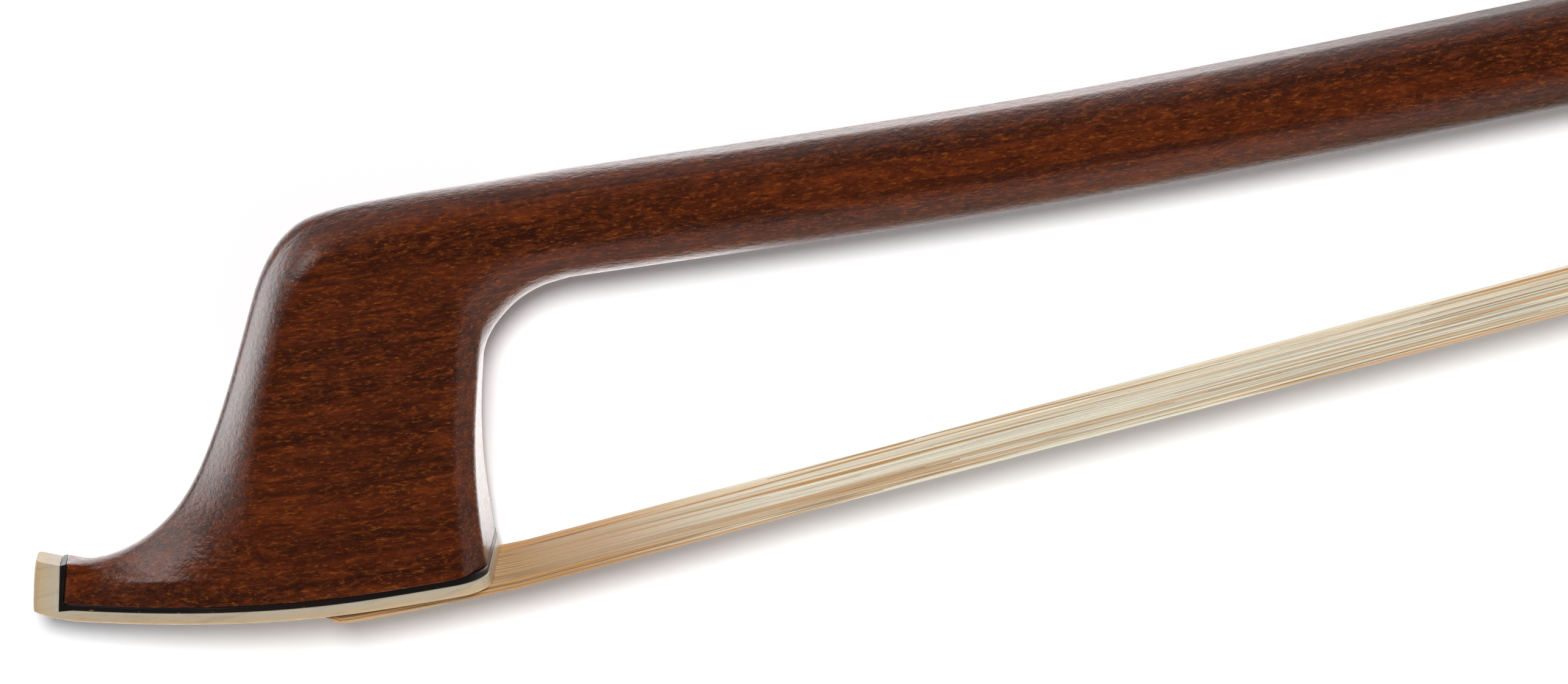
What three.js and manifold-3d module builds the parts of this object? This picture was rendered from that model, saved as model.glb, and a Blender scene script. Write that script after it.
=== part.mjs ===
// A cello bow lying on its side, in millimetres.
// x runs along the hair from the head to the button, y from the hair to the stick,
// and z up, sideways through the bow. While the bow is built, x starts at the heel of
// the tip plate, y at the middle of the hair, and z at the bow's middle plane.

import * as THREE from 'three';
import { mergeVertices } from 'three/addons/utils/BufferGeometryUtils.js';
import Module from 'manifold-3d';

const { clamp, lerp, mapLinear, smoothstep } = THREE.MathUtils;

// Sizes of the head
const headReach = 26.1;
const headHeight = 25.75;
const headHalfWidth = 5.6;
const headNoseHeight = 5.6;
const headHeelHeight = 1.77;
const headSoleSag = 2.75;
const headBackChamfer = 1.4;
const noseHalfWidth = 1.1;
const noseBevel = 19.85;
const noseOverhang = 1;
const beakRise = 1.3;
const beakReach = 5.1;

// Sizes of the facing under the head
const linerThickness = 0.34;
const plateThickness = 0.78;
const plateNoseThickness = 1.95;
const plateNoseTop = 8.8;
const glueLine = 0.05;

// Sizes of the stick
const hairLength = 605;
const stickTipDiameter = 6.8;
const stickGripDiameter = 10.6;
const handleFlats = 10.4;
const handleTilt = 0.115;
const handleAxisHeight = 26;
const handleStraight = 45;
const facetBlend = 22;
const camberLow = 350;
const camberHeight = 7.4;
const buttReach = 63;

// Sizes of the hair
const hairThickness = 0.68;
const hairHeadThickness = 0.98;
const hairHeadHalfWidth = 4;
const hairFrogHalfWidth = 5;
const hairRidges = 9;
const hairRidgeDepth = 0.12;
const hairBend = 0.95;

// Sizes of the mortise and fittings in the head
const headMortiseStart = 3.4;
const headMortiseEnd = 11.2;
const headMortiseTop = 9.4;
const knotRadius = 1.2;
const headPlugHeight = 4.2;
const frogPlugHeight = 5.6;
const fitGap = 0.2;
const slotGap = 0.4;

// Sizes of the grip
const leatherLength = 26;
const leatherRear = 2.5;
const leatherThickness = 0.8;
const leatherRidge = 1.4;
const windingLength = 74;
const windingThickness = 0.42;
const gripGap = 0.1;

// Sizes of the frog
const frogLength = 54;
const frogHeight = 22;
const frogHalfWidth = 7.5;
const frogTopHalfWidth = 6.15;
const frogRailTop = 2.75;
const frogFlatHeight = 16;
const frogCornerRadius = 0.8;
const beakStart = 6.5;
const beakDepth = 2.4;
const throatRadius = 5.1;
const ferruleLength = 13;
const ferruleWall = 0.5;
const ferruleSideHeight = 4.2;
const ferruleHeight = 9.2;
const tongueFloor = 3;
const slideClearance = 0.15;
const undersideThickness = 0.4;
const pearlThickness = 0.6;
const backingThickness = 1.25;
const heelPlateLength = 10;
const slideHalfWidth = 5.3;
const frogMortiseStart = 16;
const frogMortiseEnd = 25.7;
const frogMortiseDepth = 9.5;
const heelThickness = 0.6;
const heelRise = 17;
const pinRadius = 0.6;
const pinLength = 5;
const wedgeLength = 7;
const eyePlace = 31;
const eyeRise = 12;
const eyeRingRadius = 4;
const eyePearlRadius = 2.9;
const eyeDepth = 0.8;
const eyeSink = 0.05;
const slideScrewRadius = 1;
const slideScrewShank = 0.6;
const slideScrewLength = 4.5;

// Sizes of the adjuster
const adjusterTravel = 6;
const eyeletPlace = 33;
const eyeletLength = 5;
const eyeletHalfWidth = 2.3;
const eyeletCrown = 2.6;
const eyeletPostRadius = 1.7;
const eyeletPostLength = 8;
const screwRadius = 1.6;
const screwRunningGap = 0.15;
const screwTipRadius = 1.2;
const screwTipStart = 14;
const screwThreadStart = 21;
const screwBoreGap = 0.3;
const buttonGap = 0.3;
const buttonLength = 16.5;
const buttonFlats = 10.6;
const buttonRingLength = 5.1;
const buttonCoreRadius = 3.6;
const buttonWaistRadius = 4.9;
const buttonSwellRadius = 5.2;
const buttonScrewDepth = 10;
const buttonEyeRadius = 2.7;
const buttonEyeDepth = 0.8;

// Counts and shares
const headSteps = 27;
const shaftSteps = 24;
const facetSteps = 6;
const facingSteps = 14;
const flankSteps = 4;
const backSteps = 4;
const roundSides = 24;
const cutOverrun = 1;
const weldTolerance = 1e-5;
const crestShares = [
  [-1.001, 0.314], [-0.92, 0.296], [-0.801, 0.317], [-0.663, 0.403], [-0.525, 0.591], [-0.429, 0.748],
  [-0.341, 0.89], [-0.253, 0.973], [-0.15, 1], [0.045, 0.989], [0.23, 0.968],
];
const backShares = [
  [0.002, 0.094], [0.008, 0.132], [0.019, 0.202], [0.036, 0.287], [0.063, 0.388], [0.096, 0.486],
  [0.126, 0.555], [0.153, 0.595], [0.192, 0.63], [0.249, 0.664], [0.314, 0.683],
];
const bevelShares = [0.65, 0.5, 0.35, 0.21, 0.14, 0.123, 0.115, 0.115, 0.123, 0.13, 0.13];
const ridgeShares = [0.18, 0.14, 0.11, 0.09, 0.09, 0.09, 0.107, 0.143, 0.18, 0.21, 0.21];
const sideShares = [0.973, 0.93, 0.875, 0.82, 0.77, 0.73, 0.714, 0.7, 0.67, 0.643, 0.616];
const backWidthShares = [0.7, 0.68, 0.63, 0.57, 0.52, 0.48, 0.464, 0.446, 0.43, 0.41, 0.41];
const roundShares = [0, 0, 0, 0, 0, 0, 0.08, 0.25, 0.55, 0.85, 1];
const bevelPointShares = [0, 0.06, 0.2, 0.42, 0.7, 1];
const bevelFullShares = [0.33, 0.6];
const bevelPower = 2.7;
const headJoinShare = 0.402;
const headJoinAxisShare = 0.818;
const headJoinSlope = -0.12;
const upperKnotShares = [0.069, 0.6755];
const upperKnotSlope = -0.089;
const lowerKnotShares = [0.116, 0.594];
const lowerKnotSlope = -0.062;
const taperPower = 1.4;
const shaftStepPower = 1.15;
const heelCornerShare = 0.66;
const nosePlateShares = [
  [0.4, 0.1, 0], [0.71, 0.165, 0.08], [0.96, 0.245, 0.16], [1, 0.315, 0.25],
  [0.78, 0.62, 0.55], [0.57, 0.875, 0.85], [0.43, 1, 1],
];

// Points round each ring of the stick: twice what a head section has from ridge to back
const ringPoints = 2 * (bevelPointShares.length + flankSteps + backSteps + 2);

// Materials
function finish(color, roughness, metalness = 0) {
  return new THREE.MeshStandardMaterial({ color, roughness, metalness });
}
const wood = finish(0x572610, 0.35);
const ebony = finish(0x1c1613, 0.4);
const ivory = finish(0xcab196, 0.35);
const horseHair = finish(0xcdac87, 0.6);
const maple = finish(0xc9a56f, 0.7);
const silver = finish(0xc4c4c2, 0.25, 1);
const brass = finish(0xb08d48, 0.35, 1);
const steel = finish(0x8c8e90, 0.35, 1);
const pearl = finish(0xdfe3e0, 0.2);
const leather = finish(0x2b1a12, 0.6);
const thread = finish(0x8a5a2e, 0.7);

// Solids
const wasm = await Module();
wasm.setup();

function solidOf(geometry) {
  const bare = geometry.clone();
  bare.deleteAttribute('normal');
  bare.deleteAttribute('uv');
  const merged = mergeVertices(bare, weldTolerance);
  return new wasm.Manifold(new wasm.Mesh({
    numProp: 3,
    vertProperties: Float32Array.from(merged.attributes.position.array),
    triVerts: Uint32Array.from(merged.index.array),
  }));
}

function geometryOf(solid) {
  const mesh = solid.getMesh();
  const geometry = new THREE.BufferGeometry();
  geometry.setAttribute('position', new THREE.BufferAttribute(mesh.vertProperties, 3));
  geometry.setIndex(new THREE.BufferAttribute(mesh.triVerts, 1));
  geometry.computeVertexNormals();
  return geometry;
}

function combine(first, others, step) {
  return geometryOf(others.reduce((solid, other) => solid[step](solidOf(other)), solidOf(first)));
}
const cut = (first, ...others) => combine(first, others, 'subtract');
const join = (first, ...others) => combine(first, others, 'add');
const common = (first, ...others) => combine(first, others, 'intersect');

function meshOf(points, index) {
  const geometry = new THREE.BufferGeometry();
  const numbers = points.flatMap((p) => [p.x, p.y, p.z]);
  geometry.setAttribute('position', new THREE.Float32BufferAttribute(numbers, 3));
  geometry.setIndex(index);
  geometry.computeVertexNormals();
  return geometry;
}

// Joins each ring of points to the next, around and back to the first point
function stitch(rows, count, closed) {
  const index = [];
  const last = closed ? rows : rows - 1;
  for (let row = 0; row < last; row += 1) {
    const next = (row + 1) % rows;
    for (let k = 0; k < count; k += 1) {
      const a = row * count + k;
      const b = row * count + ((k + 1) % count);
      const c = next * count + k;
      const d = next * count + ((k + 1) % count);
      index.push(a, c, b, b, c, d);
    }
  }
  return index;
}

// A solid through rings that are alike on both sides, with end faces that follow each
// end ring from one side straight across to the other
function loft(rings) {
  const count = rings[0].length;
  const half = count / 2;
  const index = stitch(rings.length, count, false);
  const lastRing = (rings.length - 1) * count;
  for (let k = 0; k < half; k += 1) {
    const a = k;
    const b = k + 1;
    const c = (count - k) % count;
    const d = count - k - 1;
    if (d !== b) index.push(a, b, d, lastRing + a, lastRing + d, lastRing + b);
    if (c !== a) index.push(a, d, c, lastRing + a, lastRing + c, lastRing + d);
  }
  return outward(meshOf(rings.flat(), index));
}

// A hollow sleeve from its outer rings and its inner rings
function sleeve(outer, inner) {
  const rings = [...outer, ...inner.slice().reverse()];
  return outward(meshOf(rings.flat(), stitch(rings.length, outer[0].length, true)));
}

// Turns a mesh's faces over if they point into it
function outward(geometry) {
  const p = geometry.attributes.position;
  const index = geometry.index.array;
  const [a, b, c] = [new THREE.Vector3(), new THREE.Vector3(), new THREE.Vector3()];
  let volume = 0;
  for (let i = 0; i < index.length; i += 3) {
    a.fromBufferAttribute(p, index[i]);
    b.fromBufferAttribute(p, index[i + 1]);
    c.fromBufferAttribute(p, index[i + 2]);
    volume += a.dot(b.cross(c));
  }
  if (volume < 0) {
    for (let i = 0; i < index.length; i += 3) [index[i], index[i + 1]] = [index[i + 1], index[i]];
  }
  return geometry;
}

function box(x0, x1, y0, y1, halfWidth, z0 = -halfWidth) {
  const geometry = new THREE.BoxGeometry(x1 - x0, y1 - y0, halfWidth - z0);
  return geometry.translate((x0 + x1) / 2, (y0 + y1) / 2, (halfWidth + z0) / 2);
}

// A flat outline in the side view, drawn through the bow's whole width
function slab(shape, halfWidth) {
  const options = { depth: 2 * halfWidth, bevelEnabled: false, curveSegments: 14 };
  return new THREE.ExtrudeGeometry(shape, options).translate(0, 0, -halfWidth);
}

// A section, drawn from x0 to x1 along the bow
function prism(shape, x0, x1) {
  const options = { depth: x1 - x0, bevelEnabled: false, curveSegments: 10 };
  return new THREE.ExtrudeGeometry(shape, options).rotateY(Math.PI / 2).translate(x0, 0, 0);
}

function rod(x0, x1, radius, y = 0) {
  const geometry = new THREE.CylinderGeometry(radius, radius, x1 - x0, roundSides);
  return geometry.rotateZ(-Math.PI / 2).translate((x0 + x1) / 2, y, 0);
}

function post(x, y0, y1, radius) {
  const geometry = new THREE.CylinderGeometry(radius, radius, y1 - y0, roundSides);
  return geometry.translate(x, (y0 + y1) / 2, 0);
}

function disc(x, y, z0, z1, radius) {
  const geometry = new THREE.CylinderGeometry(radius, radius, z1 - z0, roundSides);
  return geometry.rotateX(Math.PI / 2).translate(x, y, (z0 + z1) / 2);
}

function octagon(flats) {
  const corner = flats / 2 / Math.cos(Math.PI / 8);
  const shape = new THREE.Shape();
  for (let k = 0; k < 8; k += 1) {
    const angle = (2 * k + 1) * Math.PI / 8;
    const to = k === 0 ? 'moveTo' : 'lineTo';
    shape[to](corner * Math.cos(angle), corner * Math.sin(angle));
  }
  return shape;
}

// The tree of pieces
const bow = new THREE.Group();
const handle = new THREE.Group();
handle.position.set(hairLength, handleAxisHeight, 0);
handle.rotation.z = handleTilt;
handle.updateMatrix();
bow.add(handle);

function place(name, geometry, material, parent = bow) {
  const mesh = new THREE.Mesh(geometry, material);
  mesh.name = name;
  parent.add(mesh);
  return mesh;
}

// The stick's line and thickness

// A cubic curve between two knots, each with a height and a slope
function between(start, end, x) {
  const span = end.x - start.x;
  const t = (x - start.x) / span;
  const rise = 3 * t * t - 2 * t * t * t;
  const lead = t * (1 - t) * (1 - t) * start.slope * span;
  const trail = t * t * (1 - t) * end.slope * span;
  return start.y + (end.y - start.y) * rise + lead - trail;
}

const joinX = headJoinShare * headReach;
const straightX = hairLength - handleStraight * Math.cos(handleTilt);
const straightY = handleAxisHeight - handleStraight * Math.sin(handleTilt);
const sharedKnot = ([reachShare, heightShare], slope) => (
  { x: reachShare * (hairLength + headReach), y: heightShare * headHeight, slope }
);
const camberKnots = [
  { x: joinX, y: headJoinAxisShare * headHeight, slope: headJoinSlope },
  sharedKnot(upperKnotShares, upperKnotSlope),
  sharedKnot(lowerKnotShares, lowerKnotSlope),
  { x: camberLow, y: camberHeight, slope: 0 },
  { x: straightX, y: straightY, slope: Math.tan(handleTilt) },
];

function axisHeight(x) {
  if (x >= straightX) return handleAxisHeight + (x - hairLength) * Math.tan(handleTilt);
  const next = Math.max(1, camberKnots.findIndex((knot) => knot.x > x));
  return between(camberKnots[next - 1], camberKnots[next], x);
}

function axisAngle(x) {
  const step = stickTipDiameter / 10;
  return Math.atan2(axisHeight(x + step) - axisHeight(x), step);
}

function stickRadius(x) {
  const share = clamp((x - joinX) / (straightX - joinX), 0, 1);
  return (stickTipDiameter + (stickGripDiameter - stickTipDiameter) * share ** taperPower) / 2;
}

// Where the rings stand along the shaft, up to the straight handle
const shaftStations = [];
for (let step = 0; step <= shaftSteps; step += 1) {
  const share = (step / shaftSteps) ** shaftStepPower;
  shaftStations.push(lerp(joinX, straightX - facetBlend, share));
}
for (let step = 1; step <= facetSteps; step += 1) {
  shaftStations.push(straightX - facetBlend + facetBlend * step / facetSteps);
}

// One ring round the stick: round along the shaft and eight-sided at the handle
function stickRing(x, swell = 0) {
  const angle = x >= straightX ? handleTilt : axisAngle(x);
  const facets = smoothstep(x, straightX - facetBlend, straightX);
  const ring = [];
  for (let k = 0; k < ringPoints; k += 1) {
    const turn = 2 * Math.PI * k / ringPoints;
    const eighth = Math.PI / 4;
    const offFacet = turn - eighth * Math.round(turn / eighth);
    const flat = (handleFlats / 2 + swell) / Math.cos(offFacet);
    const radius = lerp(stickRadius(x) + swell, flat, facets);
    const up = radius * Math.cos(turn);
    const y = axisHeight(x) + up * Math.cos(angle);
    ring.push(new THREE.Vector3(x - up * Math.sin(angle), y, radius * Math.sin(turn)));
  }
  return ring;
}

// The sole of the head, which the facing covers
const soleReach = headReach + noseOverhang;
const sole = new THREE.QuadraticBezierCurve(
  new THREE.Vector2(0, headHeelHeight),
  new THREE.Vector2(-soleReach / 2, headSoleSag),
  new THREE.Vector2(-soleReach, headNoseHeight),
);
const soleHeight = (x) => sole.getPoint(clamp(-x / soleReach, 0, 1)).y;

function beak(x) {
  const forward = Math.max(0, -x - headReach + beakReach) / beakReach;
  return beakRise * forward * forward;
}

// Half of a head section, from the ridge to the middle of the back. The bevel is a
// quarter sine low on the head, and swells into a fuller curve higher up.
function headSection(length, bevel, ridge, side, back, fullness) {
  const flank = length - headBackChamfer - bevel;
  const rows = [[0, 0]];
  bevelPointShares.forEach((q) => {
    const rise = lerp(Math.sin(q * Math.PI / 2), 1 - (1 - q) ** bevelPower, fullness);
    rows.push([q * bevel, lerp(ridge, side, rise)]);
  });
  for (let k = 1; k <= flankSteps; k += 1) rows.push([bevel + flank * k / flankSteps, side]);
  rows.push([length - headBackChamfer / 2, (side + back) / 2]);
  for (let k = backSteps; k >= 0; k -= 1) rows.push([length, back * k / backSteps]);
  return rows;
}

// One ring round the head, along the line from its crest point to its back point
function headRing(crest, back, widths, roundness, follow) {
  const lowCrest = new THREE.Vector2(crest.x, crest.y - beak(crest.x));
  const length = lowCrest.distanceTo(back);
  const rows = headSection(length, ...widths, smoothstep(crest.y / headHeight, ...bevelFullShares));
  const half = rows.map(([along, side], k) => {
    const turn = 2 * Math.PI * k / ringPoints;
    const share = lerp(along / length, (1 - Math.cos(turn)) / 2, roundness);
    const at = new THREE.Vector2().lerpVectors(lowCrest, back, share);
    const height = follow ? follow(at.x) : at.y + beak(at.x);
    return new THREE.Vector3(at.x, height, lerp(side, widths[2] * Math.sin(turn), roundness));
  });
  const other = half.slice(1, -1).reverse().map((p) => new THREE.Vector3(p.x, p.y, -p.z));
  return [...half, ...other];
}

function headCurve(rows) {
  const points = rows.map(([x, y, z = 0]) => new THREE.Vector3(x, y, z));
  return new THREE.CatmullRomCurve3(points, false, 'catmullrom');
}

function stickLoft() {
  const joinRing = stickRing(joinX);
  const top = joinRing[0];
  const under = joinRing[ringPoints / 2];
  const scaled = ([x, y]) => [x * headReach, y * headHeight];
  const crest = headCurve([...crestShares.map(scaled), [top.x, top.y]]);
  const back = headCurve([...backShares.map(scaled), [under.x, under.y]]);
  const last = bevelShares.length - 1;
  const rows = [...bevelShares.keys(), last];
  const fronts = headCurve(rows.map((k) => [bevelShares[k] * headReach, ridgeShares[k] * headHalfWidth]));
  const sides = headCurve(rows.map((k, row) => [
    row > last ? stickTipDiameter / 2 : sideShares[k] * headHalfWidth,
    backWidthShares[k] * headHalfWidth,
    roundShares[k],
  ]));
  const flat = (p) => new THREE.Vector2(p.x, p.y);
  const rings = [headRing(
    new THREE.Vector2(-soleReach, headNoseHeight), new THREE.Vector2(0, headHeelHeight),
    [noseBevel, noseHalfWidth, headHalfWidth, headHalfWidth * heelCornerShare], 0, soleHeight,
  )];
  for (let step = 0; step < headSteps; step += 1) {
    const t = step / headSteps;
    const [front, side] = [fronts.getPoint(t), sides.getPoint(t)];
    const widths = [front.x, front.y, side.x, side.y];
    rings.push(headRing(flat(crest.getPoint(t)), flat(back.getPoint(t)), widths, clamp(side.z, 0, 1)));
  }
  shaftStations.forEach((x) => rings.push(stickRing(x)));
  rings.push(stickRing(hairLength + buttReach * Math.cos(handleTilt)));
  return loft(rings);
}

// Places along the frog's height, from the stick's axis down to the frog's floor
const handleHalf = handleFlats / 2;
const frogFloor = -handleHalf - frogHeight;
const slideFloor = frogFloor + pearlThickness + glueLine;
const channelFloor = slideFloor + backingThickness + glueLine;
const tongueUnder = frogFloor + tongueFloor;
const mortiseRoof = tongueUnder + frogMortiseDepth;
const throatCentre = frogFloor + ferruleHeight + throatRadius;
const beakUnder = throatCentre + throatRadius;
const postFloor = -handleHalf - eyeletPostLength;
const undersideGap = slideClearance + undersideThickness;

const headMortiseHalfWidth = hairHeadHalfWidth + fitGap;
const headMortise = box(
  -headMortiseEnd, -headMortiseStart, -cutOverrun, headMortiseTop, headMortiseHalfWidth,
);
const eyeletSlot = box(
  eyeletPlace - eyeletLength / 2 - slotGap, eyeletPlace + eyeletLength / 2 + adjusterTravel + slotGap,
  -handleHalf - cutOverrun, eyeletCrown + slotGap, eyeletHalfWidth + slotGap,
);
const screwBore = rod(screwTipStart - cutOverrun, buttReach + cutOverrun, screwRadius + screwBoreGap);

place('stick', cut(
  stickLoft(), headMortise, eyeletSlot.applyMatrix4(handle.matrix), screwBore.applyMatrix4(handle.matrix),
), wood);

// The ebony liner and the ivory plate, each a strip of the facing's width

// Half the facing's width at a distance along the head, with rounded heel corners
function facingHalfWidth(x) {
  const q = clamp((x + soleReach) / noseBevel, 0, 1);
  const width = noseHalfWidth + (headHalfWidth - noseHalfWidth) * Math.sin(q * Math.PI / 2);
  const corner = headHalfWidth * (1 - heelCornerShare);
  const into = Math.max(0, x + corner);
  return width - corner + Math.sqrt(Math.max(0, corner * corner - into * into));
}

// A strip through rows that each hold an inner point, an outer point and half a width
function strip(rows) {
  return loft(rows.map(([inner, outer, half]) => [
    new THREE.Vector3(...inner, 0), new THREE.Vector3(...inner, half),
    new THREE.Vector3(...outer, half), new THREE.Vector3(...outer, 0),
    new THREE.Vector3(...outer, -half), new THREE.Vector3(...inner, -half),
  ]));
}

function facing(upper, lower, noseRows) {
  const rows = [];
  for (let step = 0; step < facingSteps; step += 1) {
    const x = -soleReach * (1 - Math.cos(Math.PI / 2 * step / facingSteps));
    rows.push([[x, soleHeight(x) - upper], [x, soleHeight(x) - lower], facingHalfWidth(x)]);
  }
  noseRows.forEach(([inner, outer]) => rows.push([inner, outer, noseHalfWidth]));
  return cut(strip(rows), headMortise);
}

const linerUnder = glueLine + linerThickness;
const plateOver = linerUnder + glueLine;
const plateUnder = plateOver + plateThickness;
const beakTop = crestShares[0][1] * headHeight;
const beakTipX = crestShares[0][0] * headReach;

// A point in front of the nose's sloping face, at a share of its rise and a distance from it
function noseFront(share, off) {
  return [
    lerp(-soleReach, beakTipX, share) - off,
    lerp(headNoseHeight - off, beakTop, share),
  ];
}

place('head_liner', facing(glueLine, linerUnder, [0, 1].map((share) => [
  noseFront(share, glueLine),
  noseFront(share, linerUnder),
])), ebony);

const noseFloor = headNoseHeight - plateUnder;
place('tip_plate', facing(plateOver, plateUnder, nosePlateShares.map(([outShare, riseShare, faceShare]) => [
  noseFront(faceShare, plateOver),
  [-soleReach - plateNoseThickness * outShare, noseFloor + (plateNoseTop - noseFloor) * riseShare],
])), ivory);

// The hair, tied in a knot at each end and held by a plug

const hairHalf = hairThickness / 2;
const headHairHalf = hairHeadThickness / 2;
const headHairX = -headMortiseEnd + fitGap + headHairHalf;
const frogHairX = frogMortiseEnd - fitGap - hairHalf;
const hairHalfAt = (x) => lerp(hairHalf, headHairHalf, clamp(x / headHairX, 0, 1));
const hairUnderPlate = (x) => soleHeight(x) - plateUnder - glueLine - hairHalfAt(x);
const frogHairFloor = frogFloor + ferruleWall + glueLine + hairHalf;
const channelHair = channelFloor + glueLine + hairHalf;
const knotFloor = headMortiseTop - fitGap - 2 * knotRadius;
const frogKnotFloor = mortiseRoof - fitGap - 2 * knotRadius;

function frogPoint(x, y) {
  return new THREE.Vector3(x, y, 0).applyMatrix4(handle.matrix);
}

function arcPoints(centre, start, sweep, count) {
  const points = [];
  for (let step = 0; step <= count; step += 1) {
    const turn = start + sweep * step / count;
    const off = new THREE.Vector3(Math.cos(turn), Math.sin(turn), 0).multiplyScalar(hairBend);
    points.push(off.add(centre));
  }
  return points;
}

const headBendX = headHairX + hairBend;
const headBendY = hairUnderPlate(headBendX) + hairBend;
const frogBendX = frogHairX - hairBend;
const hairRoute = [
  new THREE.Vector3(headHairX, knotFloor - glueLine, 0),
  ...arcPoints(new THREE.Vector3(headBendX, headBendY, 0), Math.PI, Math.PI / 2, 4),
  new THREE.Vector3(-headMortiseStart, hairUnderPlate(-headMortiseStart), 0),
  new THREE.Vector3(0, hairUnderPlate(0), 0),
  new THREE.Vector3(hairLength / 3, 0, 0),
  new THREE.Vector3(hairLength * 2 / 3, 0, 0),
  frogPoint(0, frogHairFloor),
  frogPoint(ferruleLength / 4, frogHairFloor),
  frogPoint(ferruleLength, channelHair),
  ...arcPoints(new THREE.Vector3(frogBendX, channelHair + hairBend, 0), -Math.PI / 2, Math.PI / 2, 4)
    .map((p) => p.applyMatrix4(handle.matrix)),
  frogPoint(frogHairX, frogKnotFloor - glueLine),
];

// The ribbon's section: thin, with shallow ridges where the strands lie side by side
function hairRing(at, direction, halfWidth) {
  const normal = new THREE.Vector3(-direction.y, direction.x, 0);
  const half = [];
  const steps = 2 * hairRidges;
  for (let k = 0; k <= steps; k += 1) {
    const dip = k % 2 === 0 ? hairRidgeDepth : 0;
    half.push([halfWidth * (2 * k / steps - 1), hairHalfAt(at.x) - dip]);
  }
  const ring = [...half, ...half.slice().reverse().map(([side, rise]) => [side, -rise])];
  return ring.map(([side, rise]) => at.clone().addScaledVector(normal, rise).setZ(side));
}

function hairRibbon() {
  const rings = hairRoute.map((at, k) => {
    const before = hairRoute[Math.max(0, k - 1)];
    const after = hairRoute[Math.min(hairRoute.length - 1, k + 1)];
    const into = at.clone().sub(before).normalize();
    const out = after.clone().sub(at).normalize();
    const direction = into.add(out).normalize();
    const share = clamp(at.x / hairLength, 0, 1);
    return hairRing(at, direction, lerp(hairHeadHalfWidth, hairFrogHalfWidth, share));
  });
  return ribbonLoft(rings);
}

// A solid through flat rings, whose end faces join the upper edge to the lower edge
function ribbonLoft(rings) {
  const count = rings[0].length;
  const half = count / 2;
  const index = stitch(rings.length, count, false);
  const lastRing = (rings.length - 1) * count;
  for (let k = 0; k + 1 < half; k += 1) {
    const a = k;
    const b = k + 1;
    const c = count - 1 - k;
    const d = count - 2 - k;
    index.push(a, b, d, a, d, c);
    index.push(lastRing + a, lastRing + d, lastRing + b, lastRing + a, lastRing + c, lastRing + d);
  }
  return outward(meshOf(rings.flat(), index));
}

place('hair_ribbon', hairRibbon(), horseHair);

const headKnotHalf = headMortiseHalfWidth - fitGap;
place('head_hair_knot', disc(
  -headMortiseEnd + fitGap + knotRadius, headMortiseTop - fitGap - knotRadius,
  -headKnotHalf, headKnotHalf, knotRadius,
), thread);
const headPlugFront = headHairX + headHairHalf + glueLine;
const headPlugFloor = headBendY;
place('head_plug', box(
  headPlugFront, -headMortiseStart - glueLine, headPlugFloor, headPlugFloor + headPlugHeight,
  headMortiseHalfWidth - fitGap,
), maple);

// The grip: a thumb leather by the frog and a wire winding ahead of it

// A sleeve over the stick that stands off it by the outline's swell at each share of its length
function gripSleeve(start, end, outline) {
  const marks = outline.map(([share, swell]) => [lerp(start, end, share), swell]);
  const between = shaftStations.filter((x) => x > start && x < end).map((x) => {
    const next = marks.findIndex(([mark]) => mark >= x);
    const [[x0, swell0], [x1, swell1]] = [marks[next - 1], marks[next]];
    return [x, mapLinear(x, x0, x1, swell0, swell1)];
  });
  const rows = [...marks, ...between].sort((first, second) => first[0] - second[0]);
  return sleeve(rows.map(([x, swell]) => stickRing(x, swell)), rows.map(([x]) => stickRing(x, gripGap)));
}

const leatherEnd = hairLength + leatherRear;
const leatherStart = leatherEnd - leatherLength;
const leatherOver = gripGap + leatherThickness;
const ridgeOver = gripGap + leatherRidge;
const skiveOver = gripGap + leatherThickness / 2;
place('thumb_leather', gripSleeve(leatherStart, leatherEnd, [
  [0, skiveOver], [0.06, leatherOver], [0.45, leatherOver], [0.8, leatherOver],
  [0.86, ridgeOver], [0.95, ridgeOver], [1, leatherOver],
]), leather);

const windingEnd = leatherStart - fitGap;
const windingOver = gripGap + windingThickness;
const windingEdge = gripGap + windingThickness / 2;
place('silver_winding', gripSleeve(windingEnd - windingLength, windingEnd, [
  [0, windingEdge], [0.01, windingOver], [0.99, windingOver], [1, windingEdge],
]), silver);

// The frog body

function frogSide() {
  const shoulder = ferruleLength + glueLine;
  const heel = frogLength - heelThickness - glueLine;
  const shape = new THREE.Shape();
  shape.moveTo(shoulder, frogFloor);
  shape.lineTo(heel, frogFloor);
  shape.lineTo(heel, -frogRailTop);
  shape.lineTo(beakStart, -frogRailTop);
  shape.lineTo(beakStart, beakUnder + beakDepth / 4);
  shape.lineTo(shoulder, beakUnder);
  shape.absarc(shoulder, throatCentre, throatRadius, Math.PI / 2, -Math.PI / 2, true);
  shape.closePath();
  return shape;
}

function frogSection() {
  const flatTop = frogFloor + frogFlatHeight;
  const shape = new THREE.Shape();
  const low = frogFloor + frogCornerRadius;
  shape.moveTo(frogHalfWidth - frogCornerRadius, frogFloor);
  shape.absarc(frogHalfWidth - frogCornerRadius, low, frogCornerRadius, -Math.PI / 2, 0, false);
  shape.lineTo(frogHalfWidth, flatTop);
  shape.quadraticCurveTo(frogTopHalfWidth, (flatTop * 2 - frogRailTop) / 3, frogTopHalfWidth, -frogRailTop);
  shape.lineTo(-frogTopHalfWidth, -frogRailTop);
  shape.quadraticCurveTo(-frogTopHalfWidth, (flatTop * 2 - frogRailTop) / 3, -frogHalfWidth, flatTop);
  shape.lineTo(-frogHalfWidth, low);
  shape.absarc(-frogHalfWidth + frogCornerRadius, low, frogCornerRadius, Math.PI, Math.PI * 3 / 2, false);
  return shape;
}

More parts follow.
